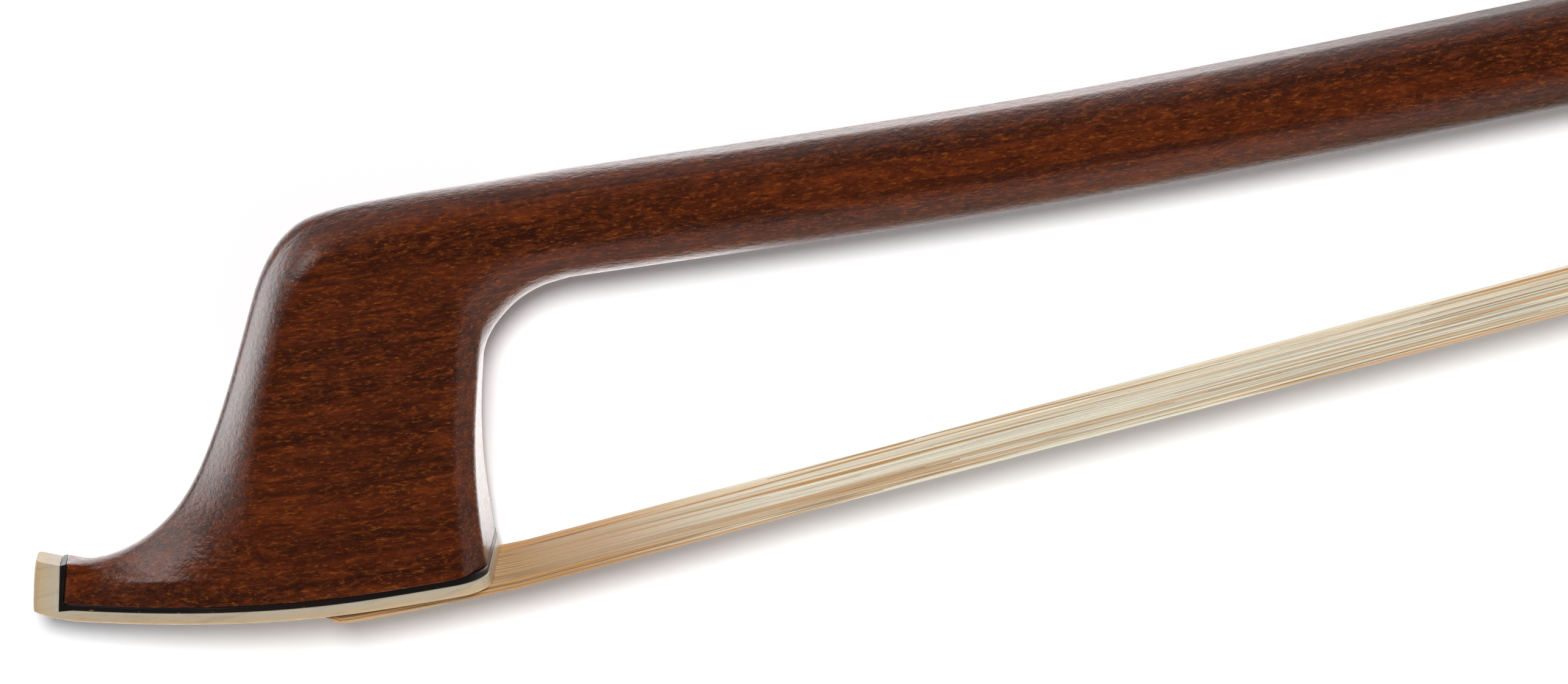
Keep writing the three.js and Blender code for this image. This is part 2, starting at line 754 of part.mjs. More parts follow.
// The ferrule's half-round outline, drawn in by a wall
function ferruleShape(inset, floor) {
  const shoulder = frogFloor + ferruleSideHeight;
  const shape = new THREE.Shape();
  shape.moveTo(-frogHalfWidth + inset, floor);
  shape.lineTo(frogHalfWidth - inset, floor);
  shape.lineTo(frogHalfWidth - inset, shoulder);
  shape.absellipse(0, shoulder, frogHalfWidth - inset, ferruleHeight - ferruleSideHeight - inset, 0, Math.PI);
  return shape;
}

const slideStart = ferruleLength + glueLine;
const slideEnd = frogLength - heelPlateLength;
const frogMortiseHalfWidth = hairFrogHalfWidth + fitGap;
const slideRecess = box(
  slideStart - cutOverrun, slideEnd, frogFloor - cutOverrun, channelFloor, slideHalfWidth,
);
const hairChannel = box(
  slideStart - cutOverrun, frogMortiseEnd, channelFloor - cutOverrun, tongueUnder, frogMortiseHalfWidth,
);
const frogMortise = box(
  frogMortiseStart, frogMortiseEnd, frogFloor - cutOverrun, mortiseRoof, frogMortiseHalfWidth,
);
const heelRecess = box(
  slideEnd, frogLength, frogFloor - cutOverrun, frogFloor + heelThickness + glueLine,
  frogHalfWidth + cutOverrun,
);
const eyeY = frogFloor + eyeRise;
const eyeBed = frogHalfWidth - eyeSink - eyeDepth - glueLine;
const eyeSeats = [1, -1].map((side) => {
  const ends = [side * eyeBed, side * (frogHalfWidth + cutOverrun)];
  return disc(eyePlace, eyeY, Math.min(...ends), Math.max(...ends), eyeRingRadius + glueLine);
});
const slideScrews = [ferruleLength + throatRadius + 2 * slideScrewRadius, frogLength - frogLength / 8];
const screwSeat = -handleHalf - undersideGap;
const slideScrewHoles = slideScrews.map((x) => post(
  x, screwSeat - slideScrewLength - glueLine, screwSeat + cutOverrun, slideScrewShank + glueLine,
));
const heelPinHeights = [
  frogFloor + heelRise - 2 * pinRadius - heelThickness,
  frogFloor + heelRise / 2,
  frogFloor + 4 * pinRadius,
];
const heelFront = frogLength - heelThickness - glueLine;
const heelPinHoles = heelPinHeights.map((y) => rod(
  heelFront - pinLength - glueLine, frogLength + cutOverrun, pinRadius + glueLine, y,
));
const eyeletHole = post(
  eyeletPlace, postFloor - glueLine, cutOverrun - handleHalf, eyeletPostRadius + glueLine,
);

const tongue = prism(ferruleShape(ferruleWall + glueLine, tongueUnder), glueLine, ferruleLength + cutOverrun);
const grooveFlats = handleFlats + 2 * (undersideGap + glueLine);
const frogBlank = join(
  common(slab(frogSide(), frogHalfWidth + cutOverrun), prism(frogSection(), 0, frogLength)), tongue,
);
const frogGroove = prism(octagon(grooveFlats), -cutOverrun, frogLength + cutOverrun);
place('frog_body', cut(
  frogBlank, frogGroove, slideRecess, hairChannel, frogMortise,
  heelRecess, ...eyeSeats, ...slideScrewHoles, ...heelPinHoles, eyeletHole,
), ebony, handle);

// The metal lining of the frog's groove, with its screws
const underslide = cut(
  common(
    prism(octagon(handleFlats + 2 * undersideGap), beakStart, heelFront),
    box(0, frogLength, frogFloor, -frogRailTop, frogHalfWidth),
  ),
  prism(octagon(handleFlats + 2 * slideClearance), 0, frogLength),
  post(eyeletPlace, frogFloor, 0, eyeletPostRadius + glueLine),
  ...slideScrews.map((x) => post(x, frogFloor, 0, slideScrewRadius + glueLine)),
);
place('frog_underslide', underslide, silver, handle);
['front', 'rear'].forEach((end, k) => {
  const top = screwSeat + undersideThickness;
  const middle = screwSeat + undersideThickness / 2;
  const head = post(slideScrews[k], screwSeat + glueLine / 2, top, slideScrewRadius);
  const shank = post(slideScrews[k], screwSeat - slideScrewLength, middle, slideScrewShank);
  place(`underslide_screw_${end}`, join(head, shank), silver, handle);
});

// The ferrule, its wedge, and the slide with its pearl
place('ferrule', cut(
  prism(ferruleShape(0, frogFloor), 0, ferruleLength),
  prism(ferruleShape(ferruleWall, frogFloor + ferruleWall), -cutOverrun, ferruleLength + cutOverrun),
), silver, handle);

place('slide_backing', box(
  slideStart, slideEnd - glueLine, slideFloor, slideFloor + backingThickness, slideHalfWidth - glueLine,
), ebony, handle);
place('slide_pearl', box(
  slideStart, slideEnd - glueLine, frogFloor, frogFloor + pearlThickness, slideHalfWidth - glueLine,
), pearl, handle);

const wedgeShape = new THREE.Shape([
  new THREE.Vector2(glueLine, frogHairFloor + hairHalf + glueLine),
  new THREE.Vector2(ferruleLength / 4, frogHairFloor + hairHalf + glueLine),
  new THREE.Vector2(wedgeLength, tongueUnder - 2 * fitGap - glueLine),
  new THREE.Vector2(wedgeLength, tongueUnder - glueLine),
  new THREE.Vector2(glueLine, tongueUnder - glueLine),
]);
place('spread_wedge', slab(wedgeShape, hairFrogHalfWidth), maple, handle);

const frogPlugEnd = frogHairX - hairHalf - glueLine;
const frogPlugFloor = channelHair + hairHalf + glueLine;
place('frog_plug', box(
  frogMortiseStart + glueLine, frogPlugEnd, frogPlugFloor + hairBend / 3, frogPlugFloor + frogPlugHeight,
  frogMortiseHalfWidth - fitGap,
), maple, handle);
place('frog_hair_knot', disc(
  frogMortiseEnd - fitGap - knotRadius, mortiseRoof - fitGap - knotRadius, -frogMortiseHalfWidth + fitGap,
  frogMortiseHalfWidth - fitGap, knotRadius,
), thread, handle);

// The heel plates and their pins
place('heel_plate_bottom', cut(
  common(
    box(slideEnd, frogLength - heelThickness - glueLine, frogFloor, frogFloor + heelThickness, frogHalfWidth),
    prism(frogSection(), 0, frogLength),
  ),
  ...heelPinHoles,
), silver, handle);
place('heel_plate_rear', cut(
  common(
    box(frogLength - heelThickness, frogLength, frogFloor, frogFloor + heelRise, frogHalfWidth),
    prism(frogSection(), 0, frogLength + cutOverrun),
  ),
  ...heelPinHoles,
), silver, handle);
['upper', 'middle', 'lower'].forEach((level, k) => {
  const pin = rod(heelFront - pinLength, frogLength, pinRadius, heelPinHeights[k]);
  place(`heel_pin_${level}`, pin, silver, handle);
});

// The side eyes
[['left', 1], ['right', -1]].forEach(([name, side]) => {
  const face = frogHalfWidth - eyeSink;
  const low = side > 0 ? face - eyeDepth : -face;
  const high = side > 0 ? face : -face + eyeDepth;
  const ring = cut(
    disc(eyePlace, eyeY, low, high, eyeRingRadius),
    disc(eyePlace, eyeY, low - cutOverrun, high + cutOverrun, eyePearlRadius + glueLine),
  );
  place(`eye_ring_${name}`, ring, silver, handle);
  place(`eye_pearl_${name}`, disc(eyePlace, eyeY, low, high, eyePearlRadius), pearl, handle);
});

// The eyelet, which the screw pulls along the stick
const eyeletBlock = box(
  eyeletPlace - eyeletLength / 2, eyeletPlace + eyeletLength / 2, -handleHalf, eyeletCrown, eyeletHalfWidth,
);
place('eyelet', cut(
  join(eyeletBlock, post(eyeletPlace, postFloor, -handleHalf + eyeletPostRadius, eyeletPostRadius)),
  rod(0, frogLength, screwRadius + screwRunningGap),
), brass, handle);

// The screw and its button
const buttonStart = buttReach + buttonGap;
const buttonEnd = buttonStart + buttonLength;
const screwEnd = buttonStart + buttonScrewDepth;

function turned(rows) {
  const points = rows.map(([x, radius]) => new THREE.Vector2(radius, x));
  return new THREE.LatheGeometry(points, roundSides).rotateZ(-Math.PI / 2);
}

place('adjuster_screw', turned([
  [screwTipStart, 0], [screwTipStart, screwTipRadius], [screwThreadStart, screwTipRadius],
  [screwThreadStart, screwRadius], [screwEnd, screwRadius], [screwEnd, 0],
]), steel, handle);

const frontRingEnd = buttonStart + buttonRingLength;
const capStart = buttonEnd - buttonRingLength;
const capFloor = buttonEnd - buttonEyeDepth - heelThickness;
const coreStart = frontRingEnd + glueLine;
const coreEnd = capStart - glueLine;
place('button_core', turned([
  [buttonStart + glueLine, screwRadius + glueLine], [buttonStart + glueLine, buttonCoreRadius],
  [coreStart, buttonCoreRadius], [coreStart, buttonSwellRadius],
  [(coreStart + coreEnd) / 2, buttonWaistRadius],
  [coreEnd, buttonSwellRadius], [coreEnd, buttonCoreRadius], [capFloor - glueLine, buttonCoreRadius],
  [capFloor - glueLine, 0], [screwEnd + glueLine, 0], [screwEnd + glueLine, screwRadius + glueLine],
  [buttonStart + glueLine, screwRadius + glueLine],
]), ebony, handle);
place('button_front_ring', cut(
  prism(octagon(buttonFlats), buttonStart, frontRingEnd),
  rod(buttonStart - cutOverrun, frontRingEnd + cutOverrun, buttonCoreRadius + glueLine),
), silver, handle);
place('button_end_cap', cut(
  prism(octagon(buttonFlats), capStart, buttonEnd),
  rod(capStart - cutOverrun, capFloor, buttonCoreRadius + glueLine),
  rod(buttonEnd - buttonEyeDepth, buttonEnd + cutOverrun, buttonEyeRadius + glueLine),
), silver, handle);
place('button_eye', rod(
  buttonEnd - buttonEyeDepth + glueLine, buttonEnd - eyeSink, buttonEyeRadius,
), pearl, handle);

// The bow's origin is under the middle of its outer box, on the table
const outer = new THREE.Box3().setFromObject(bow);
bow.position.set(-(outer.min.x + outer.max.x) / 2, -(outer.min.y + outer.max.y) / 2, -outer.min.z);

export default bow;
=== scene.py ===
"""A cello bow lying on its side on a white table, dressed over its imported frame.

Lengths are written in millimetres in the bow's own frame: x runs along the hair from the
heel of the tip plate to the button, y from the hair to the stick, and z sideways.
"""

import logging
import math
from dataclasses import dataclass, field
from enum import Enum
from typing import Sequence

import bmesh
import bpy
import numpy as np
from mathutils import Matrix, Vector


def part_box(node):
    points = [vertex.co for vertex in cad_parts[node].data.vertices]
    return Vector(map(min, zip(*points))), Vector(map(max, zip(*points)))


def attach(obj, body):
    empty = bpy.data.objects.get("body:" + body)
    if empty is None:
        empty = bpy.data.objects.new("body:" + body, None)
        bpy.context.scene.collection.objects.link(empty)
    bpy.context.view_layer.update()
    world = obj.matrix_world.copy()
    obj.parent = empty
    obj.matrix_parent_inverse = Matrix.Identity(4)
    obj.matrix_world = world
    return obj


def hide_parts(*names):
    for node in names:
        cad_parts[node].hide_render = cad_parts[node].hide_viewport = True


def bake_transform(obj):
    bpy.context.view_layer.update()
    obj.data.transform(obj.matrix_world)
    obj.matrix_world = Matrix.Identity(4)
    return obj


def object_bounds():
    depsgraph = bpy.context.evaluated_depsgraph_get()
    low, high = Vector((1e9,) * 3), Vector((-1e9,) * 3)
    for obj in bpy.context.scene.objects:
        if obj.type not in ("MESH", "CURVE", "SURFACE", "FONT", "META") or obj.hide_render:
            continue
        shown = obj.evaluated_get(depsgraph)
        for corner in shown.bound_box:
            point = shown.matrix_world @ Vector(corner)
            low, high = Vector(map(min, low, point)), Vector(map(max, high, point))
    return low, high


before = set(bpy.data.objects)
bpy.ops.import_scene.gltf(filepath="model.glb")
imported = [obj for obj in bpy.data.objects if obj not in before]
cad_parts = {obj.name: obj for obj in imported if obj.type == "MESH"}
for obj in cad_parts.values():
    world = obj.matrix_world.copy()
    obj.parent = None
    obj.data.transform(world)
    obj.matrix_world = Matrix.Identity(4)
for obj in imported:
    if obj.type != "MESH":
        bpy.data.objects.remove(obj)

log = logging.getLogger("cello_bow")
MM = 0.001
TAU = 2 * math.pi
CAD_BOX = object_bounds()

Colour = tuple[int, int, int]
Reach = tuple[float, float]
Place = tuple[float, float, float]
Profile = Sequence[tuple[float, float | np.ndarray]]
Inputs = Sequence[object] | dict[str | int, object]


# Sizes


def mixed(first: np.ndarray | float, second: np.ndarray | float, share: np.ndarray) -> np.ndarray:
    """A share of the way from a first value to a second."""
    return first + (second - first) * share


def share_of(x: np.ndarray, low: float, high: float) -> np.ndarray:
    """Zero below low, one above high, and straight between."""
    return np.clip((x - low) / (high - low), 0, 1)


def smooth_step(x: np.ndarray, low: float, high: float) -> np.ndarray:
    """Zero below low, one above high, and 3t squared less 2t cubed between."""
    t = share_of(x, low, high)
    return t * t * (3 - 2 * t)


@dataclass(frozen=True)
class BowSizes:
    """The bow's driving sizes, the same as the frame's, in millimetres, and the tilt in radians."""

    head_reach: float = 26.1
    head_height: float = 25.75
    head_half_width: float = 5.6
    nose_height: float = 5.6
    heel_height: float = 1.77
    sole_sag: float = 2.75
    nose_half_width: float = 1.1
    nose_bevel: float = 19.85
    nose_overhang: float = 1.0
    heel_corner_share: float = 0.66
    glue_line: float = 0.05
    liner_thickness: float = 0.34
    plate_thickness: float = 0.78
    hair_length: float = 605.0
    hair_thickness: float = 0.68
    hair_head_thickness: float = 0.98
    head_hair_x: float = -10.51
    handle_height: float = 26.0
    handle_tilt: float = 0.115
    handle_flats: float = 10.4
    frog_height: float = 22.0
    frog_half_width: float = 7.5
    butt_reach: float = 63.0
    mortise_low: Place = (-11.2, -1.0, -4.2)
    mortise_high: Place = (-3.4, 9.4, 4.2)
    frog_mortise_rear: float = 25.7
    frog_mortise_low: float = 3.0
    frog_mortise_height: float = 9.5
    ferrule_wall: float = 0.5
    slide_pearl: float = 0.6
    slide_backing: float = 1.25
    knot_room: float = 0.2
    knot_radius: float = 1.2

    @property
    def frog_floor(self) -> float:
        """The frog's floor, measured down from the stick's axis."""
        return -self.handle_flats / 2 - self.frog_height

    @property
    def frog_mortise_top(self) -> float:
        """The top of the frog's mortise, measured from the stick's axis."""
        return self.frog_floor + self.frog_mortise_low + self.frog_mortise_height

    @property
    def sole_reach(self) -> float:
        """How far the head's sole reaches, past the crest that leans back over it."""
        return self.head_reach + self.nose_overhang

    def sole(self, x: np.ndarray) -> np.ndarray:
        """The height of the head's sole: a quadratic curve from heel to nose.

        Args:
            x: Places along the bow.

        Returns:
            The sole's height over the hair at each place.
        """
        t = np.clip(-x / self.sole_reach, 0, 1)
        ends = (1 - t) ** 2 * self.heel_height + t**2 * self.nose_height
        return ends + 2 * t * (1 - t) * self.sole_sag

    def facing_half_width(self, x: np.ndarray) -> np.ndarray:
        """Half the sole's width: a quarter sine from the nose, with quarter circles at the heel.

        Args:
            x: Places along the bow.

        Returns:
            The half width at each place.
        """
        q = np.clip((x + self.sole_reach) / self.nose_bevel, 0, 1)
        spread = self.head_half_width - self.nose_half_width
        width = self.nose_half_width + spread * np.sin(q * math.pi / 2)
        corner = self.head_half_width * (1 - self.heel_corner_share)
        into = np.clip(x + corner, 0, corner)
        return width - corner + np.sqrt(corner**2 - into**2)

    def hair_half(self, x: np.ndarray) -> np.ndarray:
        """Half the hair's thickness: more in the head's mortise, less from the plate's heel on."""
        share = np.clip(x / self.head_hair_x, 0, 1)
        return mixed(self.hair_thickness, self.hair_head_thickness, share) / 2

    def from_handle(self, points: np.ndarray) -> np.ndarray:
        """Turns points along the handle into the bow's frame.

        Args:
            points: Points with x along the handle from the ferrule, y up from the stick's axis.

        Returns:
            The same points in the bow's frame.
        """
        c, s = math.cos(self.handle_tilt), math.sin(self.handle_tilt)
        x, y, z = points[..., 0], points[..., 1], points[..., 2]
        along = self.hair_length + x * c - y * s
        return np.stack((along, self.handle_height + x * s + y * c, z), axis=-1)

    def to_row(self, points: np.ndarray) -> np.ndarray:
        """Moves points of the bow's frame to the row's frame, in metres.

        Args:
            points: Points in the bow's frame, in millimetres.

        Returns:
            The points in the row's frame.
        """
        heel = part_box("tip_plate")[1].x
        ferrule_corner = self.handle_height + self.frog_floor * math.cos(self.handle_tilt)
        hair_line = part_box("ferrule")[0].y - ferrule_corner * MM
        middle = (CAD_BOX[0].z + CAD_BOX[1].z) / 2
        return points * MM + np.array((heel, hair_line, middle))

    def in_row(self, point: Place) -> Place:
        """One point of the bow's frame in the row's frame, in millimetres there too."""
        return tuple(float(value) / MM for value in self.to_row(np.array(point)))


SIZES = BowSizes()


# Surfaces


class Lie(Enum):
    """Which frame a piece's points are worked out in."""

    BOW = "bow"
    HANDLE = "handle"


@dataclass
class Skin:
    """Collects grids of points into one mesh."""

    rim_share: float = 0.93
    points: list[np.ndarray] = field(default_factory=list)
    quads: list[np.ndarray] = field(default_factory=list)
    triangles: list[np.ndarray] = field(default_factory=list)
    marks: dict[str, list[np.ndarray]] = field(default_factory=dict)
    count: int = 0

    def grid(
        self, points: np.ndarray, close_rows: bool = False, caps: bool = False, **marks: np.ndarray,
    ) -> "Skin":
        """Adds a grid whose columns go round; its rows go along, or round too.

        Args:
            points: Points as rows, columns, 3.
            close_rows: Whether the last row joins the first.
            caps: Whether each end row is closed by a flat rim and a fan to its middle.
            marks: A value for each point, as rows and columns, by attribute name.

        Returns:
            This skin.
        """
        if caps:
            ends = [mixed(points[row].mean(axis=0), points[row], self.rim_share) for row in (0, -1)]
            points = np.concatenate((ends[0][None], points, ends[1][None]))
            marks = {name: np.pad(values, ((1, 1), (0, 0)), "edge") for name, values in marks.items()}
        rows, columns = points.shape[:2]
        last = rows if close_rows else rows - 1
        r, c = np.meshgrid(np.arange(last), np.arange(columns), indexing="ij")
        r2, c2 = (r + 1) % rows, (c + 1) % columns
        corners = (r * columns + c, r2 * columns + c, r2 * columns + c2, r * columns + c2)
        self.quads.append(np.stack(corners, axis=-1).reshape(-1, 4) + self.count)
        flat = points.reshape(-1, 3)
        extra = []
        if caps:
            ring = np.arange(columns)
            following = (ring + 1) % columns
            for row, turned in ((0, False), (rows - 1, True)):
                middle = np.full(columns, flat.shape[0] + len(extra))
                extra.append(points[row].mean(axis=0))
                edge = (ring, following) if not turned else (following, ring)
                fan = np.stack((row * columns + edge[0], row * columns + edge[1], middle), axis=-1)
                self.triangles.append(fan + self.count)
        total = np.vstack((flat, *extra)) if extra else flat
        self.points.append(total)
        for name, values in marks.items():
            padded = np.concatenate((values.reshape(-1), np.full(len(extra), values.mean())))
            self.marks.setdefault(name, []).append(padded)
        self.count += total.shape[0]
        return self

    def object(self, name: str, lie: Lie = Lie.BOW) -> bpy.types.Object:
        """Writes the mesh with whole-array calls and makes its object, faces outwards.

        Args:
            name: The object's name.
            lie: The frame that the points are in.

        Returns:
            The new object at the origin.
        """
        points = np.vstack(self.points)
        if lie is Lie.HANDLE:
            points = SIZES.from_handle(points)
        points = SIZES.to_row(points)
        quads = np.vstack(self.quads) if self.quads else np.zeros((0, 4), int)
        triangles = np.vstack(self.triangles) if self.triangles else np.zeros((0, 3), int)
        if self._volume(points, quads, triangles) < 0:
            quads, triangles = quads[:, ::-1], triangles[:, ::-1]
        mesh = bpy.data.meshes.new(name)
        mesh.vertices.add(len(points))
        mesh.vertices.foreach_set("co", points.astype(np.float32).reshape(-1))
        loops = np.concatenate((quads.reshape(-1), triangles.reshape(-1))).astype(np.int32)
        mesh.loops.add(len(loops))
        mesh.loops.foreach_set("vertex_index", loops)
        totals = np.concatenate((np.full(len(quads), 4), np.full(len(triangles), 3))).astype(np.int32)
        mesh.polygons.add(len(totals))
        mesh.polygons.foreach_set("loop_start", (np.cumsum(totals) - totals).astype(np.int32))
        mesh.polygons.foreach_set("loop_total", totals)
        mesh.polygons.foreach_set("use_smooth", np.ones(len(totals), bool))
        mesh.update(calc_edges=True)
        for mark, values in self.marks.items():
            attribute = mesh.attributes.new(mark, "FLOAT", "POINT")
            attribute.data.foreach_set("value", np.concatenate(values).astype(np.float32))
        mesh.validate()
        made = bpy.data.objects.new(name, mesh)
        bpy.context.scene.collection.objects.link(made)
        return made

    @staticmethod
    def _volume(points: np.ndarray, quads: np.ndarray, triangles: np.ndarray) -> float:
        """The signed volume inside the faces: a sum of corner triple products.

        Args:
            points: The corners.
            quads: Faces of four corners.
            triangles: Faces of three.

        Returns:
            Six times the volume, below zero where the faces point inwards.
        """
        middle = points.mean(axis=0)
        faces = np.vstack((quads[:, :3], quads[:, [0, 2, 3]], triangles))
        a, b, c = (points[faces[:, k]] - middle for k in range(3))
        return float(np.einsum("ij,ij->i", a, np.cross(b, c)).sum())


def catmull(points: np.ndarray, t: np.ndarray) -> np.ndarray:
    """A uniform Catmull-Rom curve through rows of values, straight on past its ends.

    Args:
        points: One row of values for each knot.
        t: Shares of the whole curve, from 0 to 1.

    Returns:
        One row of values for each share.
    """
    spans = len(points) - 1
    place = np.clip(t, 0, 1) * spans
    i = np.minimum(place.astype(int), spans - 1)
    w = (place - i)[:, None]
    led = np.vstack((2 * points[0] - points[1], points, 2 * points[-1] - points[-2]))
    a, b, c, d = (led[i + k] for k in range(4))
    lead, trail = (c - a) / 2, (d - b) / 2
    square = 3 * (c - b) - 2 * lead - trail
    cube = 2 * (b - c) + lead + trail
    return b + lead * w + square * w**2 + cube * w**3


def soften(rings: np.ndarray, times: int) -> np.ndarray:
    """Rounds each ring's corners: a quarter, half, quarter mean of each point and its neighbours.

    Args:
        rings: Points as rings, points round, 3.
        times: How often the mean is taken.

    Returns:
        The rounded rings.
    """
    for _ in range(times):
        rings = (np.roll(rings, 1, axis=1) + 2 * rings + np.roll(rings, -1, axis=1)) / 4
    return rings


def octagon_radius(turn: np.ndarray, flats: float, blunt: float) -> np.ndarray:
    """How far an eight-sided outline lies from its middle: half its flats over the cosine off a facet.

    Args:
        turn: Angles round the outline.
        flats: The width across the flats.
        blunt: How much is taken off each corner.

    Returns:
        The radius at each angle.
    """
    eighth = TAU / 8
    off = turn - eighth * np.round(turn / eighth)
    return np.minimum(flats / 2 / np.cos(off), flats / 2 / math.cos(eighth / 2) - blunt)


def turned(rows: Profile, sides: int) -> np.ndarray:
    """A profile carried round the x axis: each row is a place along x and its radius at each angle.

    Args:
        rows: Places along x with a radius, or a radius for each side.
        sides: The number of points round.

    Returns:
        Points as rows, sides, 3.
    """
    turn = np.arange(sides) * TAU / sides
    x = np.array([row[0] for row in rows])[:, None] * np.ones(sides)
    radius = np.stack([row[1] * np.ones(sides) for row in rows])
    return np.stack((x, radius * np.cos(turn), radius * np.sin(turn)), axis=-1)


def bell(x: float, middle: float, width: float) -> float:
    """One at the middle, falling off as the exponential of the squared distance over the width."""
    return math.exp(-(((x - middle) / width) ** 2))


def dome(
    back: float, face: float, rise: float, radius: float, rows: int = 16, least: float = 0.02,
) -> Profile:
    """A disc with a domed front: its depth follows the square of the distance from its middle.

    Args:
        back: Where its back lies along the axis.
        face: Where its front's middle lies.
        rise: How far the dome stands over its rim.
        radius: The disc's radius.
        rows: Rings on the dome.
        least: The share of the radius at which the dome's rings begin and end.

    Returns:
        Places along the axis with radii.
    """
    shares = np.linspace(1 - least, least, rows)
    rings = [(face - rise * q**2, radius * ((1 - least / 2) * q + least / 4)) for q in shares]
    return [(back, radius), (face - rise, radius), *rings]


def mirrored(right: np.ndarray) -> np.ndarray:
    """Closes half rings with their mirror image in z, whose end points they share."""
    left = right[:, -2:0:-1] * np.array((1, 1, -1))
    return np.concatenate((right, left), axis=1)


def stood_up(points: np.ndarray, x: float, y: float) -> np.ndarray:
    """Turns a piece made along x so that it stands along z at a place."""
    return np.stack((x + points[..., 2], y + points[..., 1], points[..., 0]), axis=-1)


def handle_piece(points: np.ndarray, solid: bool, name: str) -> bpy.types.Object:
    """A piece along the handle: its rings are capped if it is solid, and else joined end to end."""
    return Skin().grid(points, close_rows=not solid, caps=solid).object(name, Lie.HANDLE)


def box_cutter(low: Place, high: Place, lie: Lie) -> bpy.types.Object:
    """A plain block that a modifier cuts with, between two corners.

    Args:
        low: Its lowest corner.
        high: Its highest corner.
        lie: The frame of the corners.

    Returns:
        The cutter, which is removed after its cut.
    """
    ring = np.array([(low[1], low[2]), (high[1], low[2]), (high[1], high[2]), (low[1], high[2])])
    rows = [np.column_stack((np.full(4, x), ring)) for x in (low[0], high[0])]
    return Skin().grid(np.stack(rows), caps=True).object("cutter", lie)


def cut_away(piece: bpy.types.Object, cutters: Sequence[bpy.types.Object]) -> None:
    """Cuts each cutter out of a piece, then removes the cutters.

    Args:
        piece: The piece, whose mesh is changed.
        cutters: Closed meshes.
    """
    for cutter in cutters:
        boolean = piece.modifiers.new("cut", "BOOLEAN")
        boolean.object = cutter
        boolean.operation = "DIFFERENCE"
        boolean.solver = "MANIFOLD"
    graph = bpy.context.evaluated_depsgraph_get()
    result = bpy.data.meshes.new_from_object(piece.evaluated_get(graph))
    piece.modifiers.clear()
    old = piece.data
    piece.data = result
    bpy.data.meshes.remove(old)
    for cutter in cutters:
        bpy.data.objects.remove(cutter)


@dataclass(frozen=True)
class Easing:
    """How a frame piece is joined and eased: lengths in millimetres, angles in degrees."""

    merge: float = 0.002
    flat_angle: float = 0.5
    edge_angle: float = 28.0
    segments: int = 2


def eased_copy(node: str, name: str, width: float, easing: Easing = Easing()) -> bpy.types.Object:
    """A copy of a frame piece with its faces joined and its edges eased by a bevel.

    Args:
        node: The frame piece.
        name: The copy's name.
        width: The bevel's width in millimetres.
        easing: What counts as one point, as flat and as an edge.

    Returns:
        The new object at the origin.
    """
    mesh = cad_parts[node].data.copy()
    mesh.materials.clear()
    work = bmesh.new()
    work.from_mesh(mesh)
    bmesh.ops.remove_doubles(work, verts=work.verts, dist=easing.merge * MM)
    flat = math.radians(easing.flat_angle)
    bmesh.ops.dissolve_limit(work, angle_limit=flat, verts=work.verts, edges=work.edges)
    bmesh.ops.recalc_face_normals(work, faces=work.faces)
    work.to_mesh(mesh)
    work.free()
    mesh.polygons.foreach_set("use_smooth", np.ones(len(mesh.polygons), bool))
    made = bpy.data.objects.new(name, mesh)
    bpy.context.scene.collection.objects.link(made)
    bevel = made.modifiers.new("eased_edges", "BEVEL")
    bevel.width = width * MM
    bevel.segments = easing.segments
    bevel.limit_method = "ANGLE"
    bevel.angle_limit = math.radians(easing.edge_angle)
    bevel.harden_normals = True
    return made


# Shader expressions


@dataclass(frozen=True)
class Grain:
    """A noise pattern: how it is stretched and bent, and how much of it shows.

    Its stretch is in pattern units to the millimetre along each axis. It bends by waver
    millimetres, with waves bends to the millimetre, and shows its values over a reach.
    """

    stretch: Place
    waver: float = 0.0
    waves: float = 0.2
    detail: float = 2.0
    rough: float = 0.5
    reach: Reach = (0.0, 1.0)
    share: float = 1.0


class Nodes:
    """Adds nodes to one tree."""

    def __init__(self, tree: bpy.types.NodeTree) -> None:
        """Keeps the tree."""
        self.tree = tree

    def node(self, kind: str, settings: dict[str, object], inputs: Inputs) -> bpy.types.Node:
        """Adds a node, sets its options first, and then its inputs.

        Args:
            kind: The node's type.
            settings: Options such as an operation.
            inputs: Values or links, in order, or by name or number.

        Returns:
            The node.
        """
        made = self.tree.nodes.new(kind)
        for key, value in settings.items():
            setattr(made, key, value)
        pairs = inputs.items() if isinstance(inputs, dict) else enumerate(inputs)
        for key, value in pairs:
            self.feed(made.inputs[key], value)
        return made

    def feed(self, socket: bpy.types.NodeSocket, value: object) -> None:
        """Links a value or a socket to an input, or sets a constant on it.

        Args:
            socket: The input.
            value: What it gets.
        """
        if isinstance(value, Value):
            value = value.socket
        if isinstance(value, bpy.types.NodeSocket):
            self.tree.links.new(value, socket)
        else:
            socket.default_value = value


